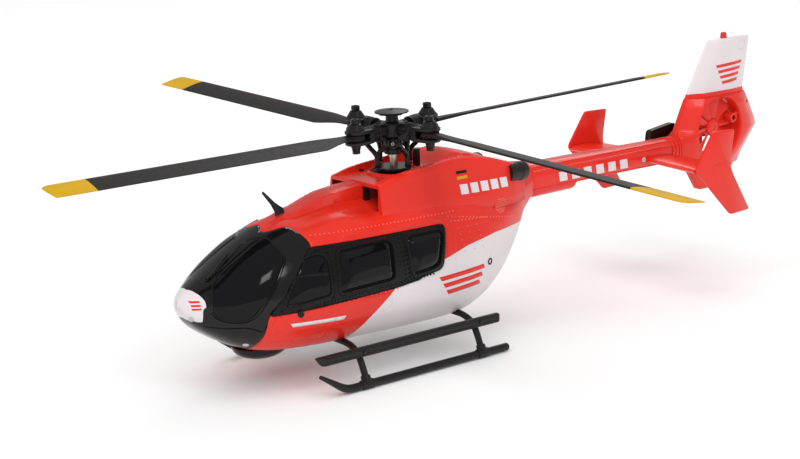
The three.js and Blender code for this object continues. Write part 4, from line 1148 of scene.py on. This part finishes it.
def build_fan():
    form = Form().turned([(4.4, -1.2), (4.6, -0.9), (4.6, 2.4), (4.2, 3.0), (3.2, 3.4), (1.4, 3.4),
                          (1.2, 3.0), (0.05, 3.0)], DUCT, PORT, 40)
    root, tip = 4.0, DUCT_RADIUS - 0.7
    for angle in circle(10):
        turn = Matrix.Rotation(angle, 3, "Y")
        rings = []
        for share in np.linspace(0, 1, 7):
            pitch = -radians(36 - 14 * share)
            chord, thick = 3.6 + 6.0 * share, 0.42 - 0.14 * share
            ring = []
            for a in circle(12):
                u = chord / 2 * cos(a)
                v = thick * sin(a) + 0.35 * sin((cos(a) + 1) * pi / 2)
                ring.append(DUCT + turn @ Vector((
                    u * cos(pitch) - v * sin(pitch), 1.1 + u * sin(pitch) + v * cos(pitch),
                    root + (tip - root) * share)))
            rings.append(ring)
        form.loft(rings)
    form.make("tail_fan", RED, "tail_rotor", "fan")


# ---------------------------------------------------------------- landing gear
CROSS_TUBES = (("front", 47.5), ("rear", -19.0))
SKID_Y = 38
SKID_RADIUS = 1.75


def build_gear():
    for name, x in CROSS_TUBES:
        half = [(x, 0, 17.4), (x, 12, 17.4), (x, 19, 17.3), (x, 24, 17.1), (x, 28, 16.2), (x, 31, 14.6),
                (x, 33, 12.4), (x, 34.6, 9.6), (x, 36, 6.6), (x, 36.9, 4.4)]
        form = Form().tube(smooth_line([(px, -py, pz) for px, py, pz in half[:0:-1]] + half, 4), 1.5, 18)
        for hand in (1, -1):
            y = SKID_Y * hand
            form.rod((x, 36.6 * hand, 5.4), (x, y, 1.9), 2.1, 2.3, 20, 0.3)
            form.rod((x - 3.4, y, 1.75), (x + 3.4, y, 1.75), 2.12, None, 20, 0.3)
        for v in form.vertices:
            v.z = max(v.z, 0.0)
        form.make(f"{name}_cross_tube_skin", GEAR, f"{name}_cross_tube")
    path = smooth_line([(-34.6, 1.7), (-30, 1.7), (-10, 1.7), (20, 1.7), (48, 1.7), (56, 1.7), (60.5, 2.9),
                        (67, 6.8), (72.4, 10.1)], 5)
    board = rounded([(73.2, 17.9), (-31, 17.9), (-31, 13.6), (70.2, 13.6)], [1.2, 1.2, 1.2, 1.8], 5)
    for side, hand in SIDES:
        rings = []
        for i, (x, z) in enumerate(path):
            before, after = path[max(i - 1, 0)], path[min(i + 1, len(path) - 1)]
            tilt = atan2(after[1] - before[1], after[0] - before[0])
            size = 1.2 if i in (0, len(path) - 1) else SKID_RADIUS
            if x > 60:
                size = min(size, SKID_RADIUS - 0.9 * (x - 60) / 12.4)
            rings.append([Vector((x - size * sin(a) * sin(tilt), SKID_Y * hand + size * cos(a),
                                  max(z + size * sin(a) * cos(tilt), 0))) for a in circle(20)])
        Form().loft(rings).make(f"skid_runner_{side}", GEAR, f"skid_{side}")
        low, high = (34.7, 36.9) if hand > 0 else (-36.9, -34.7)
        step = Form().plate(board, [(low, -0.45), (low + 0.4, 0), (high - 0.4, 0), (high, -0.45)])
        face = 36.9 * hand
        for z in (14.7, 16.8):
            step.tube([(69, face, z), (-29, face, z)], 0.22, 6)
        for _, x in CROSS_TUBES:
            step.rod((x, face - 0.3 * hand, 15.75), (x, face + 0.35 * hand, 15.75), 0.9, sides=16, soft=0.15)
        step.make(f"step_board_{side}", GEAR, f"step_{side}")


# ---------------------------------------------------------------- rotor head
FIRST_ARM = 6.0  # degrees from the nose to arm 1
SWING = (5.6, 7.2, 8.4, 6.5)  # how far each blade is turned about its bolt, in degrees
DROOP = (-1.6, 2.3, -0.35, -1.6)  # how far each blade hangs, in degrees
TIP_LENGTHS = (19.0, 26.6, 18.6, 21.0)
BOLT_RADIUS = 23.0
ROTOR_RADIUS = 176.0
SWASH_HEIGHT = -18.0


def arm_place(i):
    return HEAD @ Matrix.Rotation(radians(FIRST_ARM + 90 * i), 4, "Z")


def build_hub():
    form = Form()
    form.turned([(1.85, -11), (3.9, -11), (4.2, -10.6), (4.3, -4.2), (5.2, -3.2), (5.7, -2.6), (5.7, 2.6),
                 (5.2, 3.2), (3.4, 3.6), (1.9, 3.6)], sides=40)
    form.turned([(4.7, -10.2), (4.7, -8.8), (4.5, -8.5), (4.5, -10.5)], sides=40)
    for i in range(4):
        turn = Matrix.Rotation(radians(FIRST_ARM + 90 * i), 4, "Z")
        arm = Form()
        arm.rod((4, 0, 0), (9.6, 0, 0), 2.7, sides=24, soft=0.4)
        arm.rod((9, 0, 0), (15.5, 0, 0), 1.3, sides=16)
        arm.block((4.4, -0.7, -4.6), (8.6, 0.7, -1.8))
        arm.block((4.4, -0.6, 1.8), (8.2, 0.6, 3.2))
        form.copy(arm, turn)
    form.make("rotor_hub_skin", MOULDED, "rotor_hub", "rotor", place=HEAD)
    screw = Form()
    for angle in (0.85, 0.85 + pi):
        out = Vector((cos(angle), sin(angle), 0))
        screw.turned([(0.75, 0), (0.75, 0.5), (0.65, 0.6), (0.45, 0.6), (0.4, 0.2), (0.05, 0.2)],
                     out * 4.0 + Vector((0, 0, -6.0)), out, 20)
    screw.make("hub_set_screws", STEEL, body="rotor", place=HEAD)
    cap = Form()
    cap.turned([(0.05, 3.9), (2.9, 3.9), (2.8, 5.4), (2.7, 6.6), (3.6, 7.0), (6.6, 7.35), (7.6, 7.6),
                (7.8, 7.9), (7.6, 8.2), (6.2, 8.45), (3.4, 8.75), (1.3, 8.95), (1.0, 8.6), (0.05, 8.5)],
               sides=56)
    for a in circle(8):
        ray = Vector((cos(a), sin(a), 0))
        cap.tube([ray * 2.6 + Vector((0, 0, 6.4)), ray * 6.9 + Vector((0, 0, 7.3))], 0.3, 6)
    cap.make("head_cap_skin", MOULDED, "head_cap", "rotor", place=HEAD)


def soften(thing):
    """Rounds a piece's edges a little."""
    edges = thing.modifiers.new("soft edges", "BEVEL")
    edges.width = 0.15 * MM
    edges.segments = 2
    edges.limit_method = "ANGLE"
    edges.angle_limit = radians(35)
    edges.harden_normals = False


def build_grips():
    """The grips, each with its bolt and its pitch link."""
    for i in range(4):
        grip = Form()
        grip.rod((10.2, 0, 0), (18, 0, 0), 3.6, None, 28, 0.5)
        grip.rod((10.2, 0, 0), (11.6, 0, 0), 4.0, None, 28, 0.3)
        for low, high in ((-3.2, -1.6), (1.6, 3.2)):
            jaw = [(15.5, -4.4), (18.5, -4.9),
                   *[(BOLT_RADIUS + 4.8 * cos(a), 4.8 * sin(a))
                     for a in np.linspace(-pi / 2, pi / 2, 14)],
                   (18.5, 4.9), (15.5, 4.4)]
            grip.plate(jaw, [(low, -0.35), (low + 0.3, 0), (high - 0.3, 0), (high, -0.35)], level=True)
        for near, far, wide, narrow in ((3.0, 6.0, 4.2, 2.7), (-3.0, -5.8, 2.3, 1.9)):
            grip.rod((BOLT_RADIUS, 0, near), (BOLT_RADIUS, 0, far), wide, narrow, 28, 0.35)
        grip.block((15.4, -4.4, -2.9), (18.3, 4.4, 2.9))
        grip.rod((13, -2, 0), (10.9, -7.0, -2.2), 1.7, 1.25, 20, 0.3)
        for k in range(3):
            grip.rod((12.4 + k * 1.5, 0, 0), (12.9 + k * 1.5, 0, 0), 3.85, None, 28, 0.1)
        soften(grip.make(f"blade_grip_skin_{i + 1}", MOULDED, f"blade_grip_{i + 1}", f"grip_{i + 1}",
                         place=arm_place(i)))
        bolt = Form()
        bolt.rod((BOLT_RADIUS, 0, -7.2), (BOLT_RADIUS, 0, 7.4), 1.1, sides=16)
        bolt.turned([(1.9, 6.2), (2.0, 6.5), (2.0, 8.0), (1.75, 8.3), (1.05, 8.3), (1.0, 7.3), (0.05, 7.3)],
                    (BOLT_RADIUS, 0, 0), sides=24)
        bolt.turned([(1.75, -7.2), (1.85, -7.0), (1.85, -5.9), (1.6, -5.8)], (BOLT_RADIUS, 0, 0), sides=6)
        bolt.make(f"blade_bolt_skin_{i + 1}", MOULDED, f"blade_bolt_{i + 1}", f"grip_{i + 1}",
                  place=arm_place(i))
        link = Form()
        top, elbow, foot = Vector((10.7, -7.1, -4.7)), Vector((9.5, -1.4, -10.5)), Vector((9.5, -0.6, -16.1))
        link.turned([(0.3, -1.45), (1.2, -0.95), (1.6, 0), (1.2, 0.95), (0.3, 1.45)], top, (0.3, 1, 0), 20)
        line = smooth_line([top, top * 0.6 + elbow * 0.4, elbow, foot * 0.5 + elbow * 0.5, foot], 5)
        link.tube(line, 1.1, 14)
        inner = Vector((6.2, 2.9, -5.7))
        link.tube(smooth_line([elbow, elbow * 0.55 + inner * 0.45, inner], 5), 1.05, 14)
        link.turned([(0.3, -1.2), (1.3, -0.8), (1.3, 0.8), (0.3, 1.2)], inner, (0.5, 1, 0), 18)
        link.rod(foot + Vector((0, 0, 1.2)), foot, 1.6, 1.4, 18, 0.2)
        link.make(f"pitch_link_skin_{i + 1}", MOULDED, f"pitch_link_{i + 1}", "swash_rotating",
                  place=arm_place(i))


def blade_section(ahead, behind, half, incidence):
    """A section of a blade as (y, z), turned to its incidence in degrees."""
    upper = []
    for share in np.linspace(0, 1, 15):
        t = 0.5 * (1 - cos(pi * share))
        y = -ahead + (ahead + behind) * t
        thick = half * (2.75 * sqrt(t) - 2.25 * t - 0.4 * t * t) + 0.10
        upper.append((y, thick))
    ring = upper + [(y, -z * 0.75) for y, z in upper[::-1]]
    turn = -radians(incidence)
    return [(y * cos(turn) - z * sin(turn), y * sin(turn) + z * cos(turn))
            for y, z in ring]


def build_blades():
    span = ROTOR_RADIUS - BOLT_RADIUS
    for i, tip_length in enumerate(TIP_LENGTHS):
        tip_start = span - tip_length
        rows = np.array([(3, 4.2, 4.2, 1.3, 0), (7, 3.8, 3.8, 1.3, 2), (10, 3.9, 4.1, 1.25, 4),
                         (14, 4.4, 5.2, 1.15, 7), (18, 4.8, 6.8, 1.0, 9), (22, 5, 8, 0.95, 10),
                         (tip_start, 5, 8, 0.92, 10), (span - 3, 5, 8, 0.8, 10),
                         (span - 1.2, 4.6, 7.9, 0.65, 10), (span, 3.5, 7.7, 0.4, 10)])
        stations = sorted(set(np.round(np.concatenate([rows[:, 0], np.linspace(26, span - 5, 40)]), 3)))
        form = Form()
        rings = []
        for x in stations:
            ahead, behind, half, incidence = values_at(rows, x)
            drop = max(x - 7, 0) * tan(radians(DROOP[i]))
            ring = []
            for y, z in blade_section(ahead, behind, half, incidence):
                slant = 0.16 * y * np.clip((x - tip_start + 12) / 12, 0, 1) * (0 if x > span - 0.5 else 1)
                ring.append(Vector((min(x + slant * 0.6, span), y, z - drop)))
            rings.append(ring)
        form.loft(rings)
        size = len(rings[0])
        painted = stations.index(min(stations, key=lambda x: abs(x - tip_start)))
        for f in range(len(form.faces) - 2):
            form.indices[f] = 1 if f // size >= painted else 0
        form.indices[-1] = 1
        form.turned([(1.35, -1.3), (4.0, -1.3), (4.2, -1.1), (4.2, 1.1), (4.0, 1.3), (1.35, 1.3)], sides=36)
        place = arm_place(i) @ Matrix.Translation((BOLT_RADIUS, 0, 0)) @ \
            Matrix.Rotation(-radians(SWING[i]), 4, "Z")
        form.make(f"main_blade_skin_{i + 1}", [BLADE, YELLOW], f"main_blade_{i + 1}", f"blade_{i + 1}",
                  place=place, sharp=50)


def build_swash():
    form = Form()
    z = SWASH_HEIGHT
    form.turned([(5.5, z + 0.25), (8.0, z + 0.25), (8.2, z + 0.4), (8.2, z + 0.9), (7.9, z + 1.2),
                 (5.5, z + 1.2)],
                sides=44)
    for i in range(4):
        turn = Matrix.Rotation(radians(FIRST_ARM + 90 * i), 4, "Z")
        arm = Form()
        arm.rod((7, -0.6, z + 0.75), (9.5, -0.6, z + 0.75), 0.6, sides=14)
        arm.turned([(0.5, 0.1), (1.2, 0.35), (1.3, 0.8), (1.2, 1.15), (0.8, 1.4)], (9.5, -0.6, z), sides=16)
        form.copy(arm, turn)
    form.make("swashplate_outer_skin", MOULDED, "swashplate_outer", "swash_rotating", place=HEAD)


FINISHES = {
    "main_shaft": STEEL, "swashplate_inner": MOULDED, "main_gear": NYLON, "motor_pinion": STEEL,
    "main_motor": CAN, "upper_bearing": STEEL, "lower_bearing": STEEL, "main_frame": MOULDED,
    "servo_1": SERVO, "servo_2": SERVO, "servo_3": SERVO, "servo_arm_1": NYLON, "servo_arm_2": NYLON,
    "servo_arm_3": NYLON, "battery_pack": WRAP, "flight_board": BOARD, "tail_motor": CAN,
}


# ---------------------------------------------------------------- floor, light and camera
# Name, place, size (degrees for the sun, metres for the others), power, seen in reflections.
LIGHTS = (("key", (0.75, 0.25, 1.35), 70, 2.0, False), ("front", (0.55, 1.35, 0.55), 0.8, 2.4, False),
          ("strip", (0.15, 1.2, 1.0), 0.30, 2.6, True), ("rim", (-0.9, -0.7, 0.9), 0.6, 2.5, True))
AIM = Vector((0, 0, 0.05))
WORLD_LIGHT = 0.52
# The camera fitted to the photograph: its focal length, place and axes (right, up, back).
FOCAL_LENGTH = 81
CAMERA_PLACE = (MAST_X + 0.504308, 0.611444, 0.240484)
CAMERA_AXES = ((-0.76689, 0.64160, -0.01526), (-0.15740, -0.16498, 0.97366), (0.62218, 0.74909, 0.22751))


def build_stage():
    nodes = Nodes("floor")
    nodes.link(nodes.colours(nodes.noise(3), (0.90, 0.90, 0.90), (0.93, 0.93, 0.93)),
               nodes.shader.inputs["Base Color"])
    nodes.shader.inputs["Roughness"].default_value = 0.9
    bpy.ops.mesh.primitive_plane_add(size=14, location=(0, 0, -0.0004))
    floor = bpy.context.object
    floor.name = "floor"
    floor.data.materials.append(nodes.material)
    world = bpy.data.worlds.new("studio")
    bpy.context.scene.world = world
    world.use_nodes = True
    world.node_tree.nodes["Background"].inputs["Color"].default_value = (1, 1, 1, 1)
    world.node_tree.nodes["Background"].inputs["Strength"].default_value = WORLD_LIGHT
    for name, place, size, power, glossy in LIGHTS:
        light = bpy.data.lights.new(name, "SUN" if name == "key" else "AREA")
        light.energy = power
        if name == "key":
            light.angle = radians(size)
        else:
            light.size = size
        lamp = show(name, light)
        lamp.location = place
        lamp.visible_glossy = glossy
        lamp.rotation_mode = "QUATERNION"
        lamp.rotation_quaternion = (AIM - lamp.location).to_track_quat("-Z", "Y")
    camera = bpy.data.cameras.new("camera")
    camera.sensor_width = 36
    camera.lens = FOCAL_LENGTH
    camera.clip_start, camera.clip_end = 0.01, 20
    eye = show("camera", camera)
    eye.matrix_world = Matrix.Translation(CAMERA_PLACE) @ Matrix(CAMERA_AXES).transposed().to_4x4()
    bpy.context.scene.camera = eye
    bpy.context.scene.view_settings.view_transform = "Standard"


build_nose()
build_nose_details()
for side, hand in SIDES:
    build_cabin(side, hand)
    build_windows(side, hand)
    rivet_rows(side, hand)
    build_locks(side, hand)
    build_marks(side, hand)
build_cowling()
build_intakes()
build_roof_details()
build_exhausts()
build_antenna_and_pod()
build_boom()
build_stabiliser()
build_fin()
build_duct_details()
build_beacon_and_fairing()
build_fan()
build_gear()
build_hub()
build_grips()
build_blades()
build_swash()
for node, material in FINISHES.items():
    dress(node, material)
build_stage()
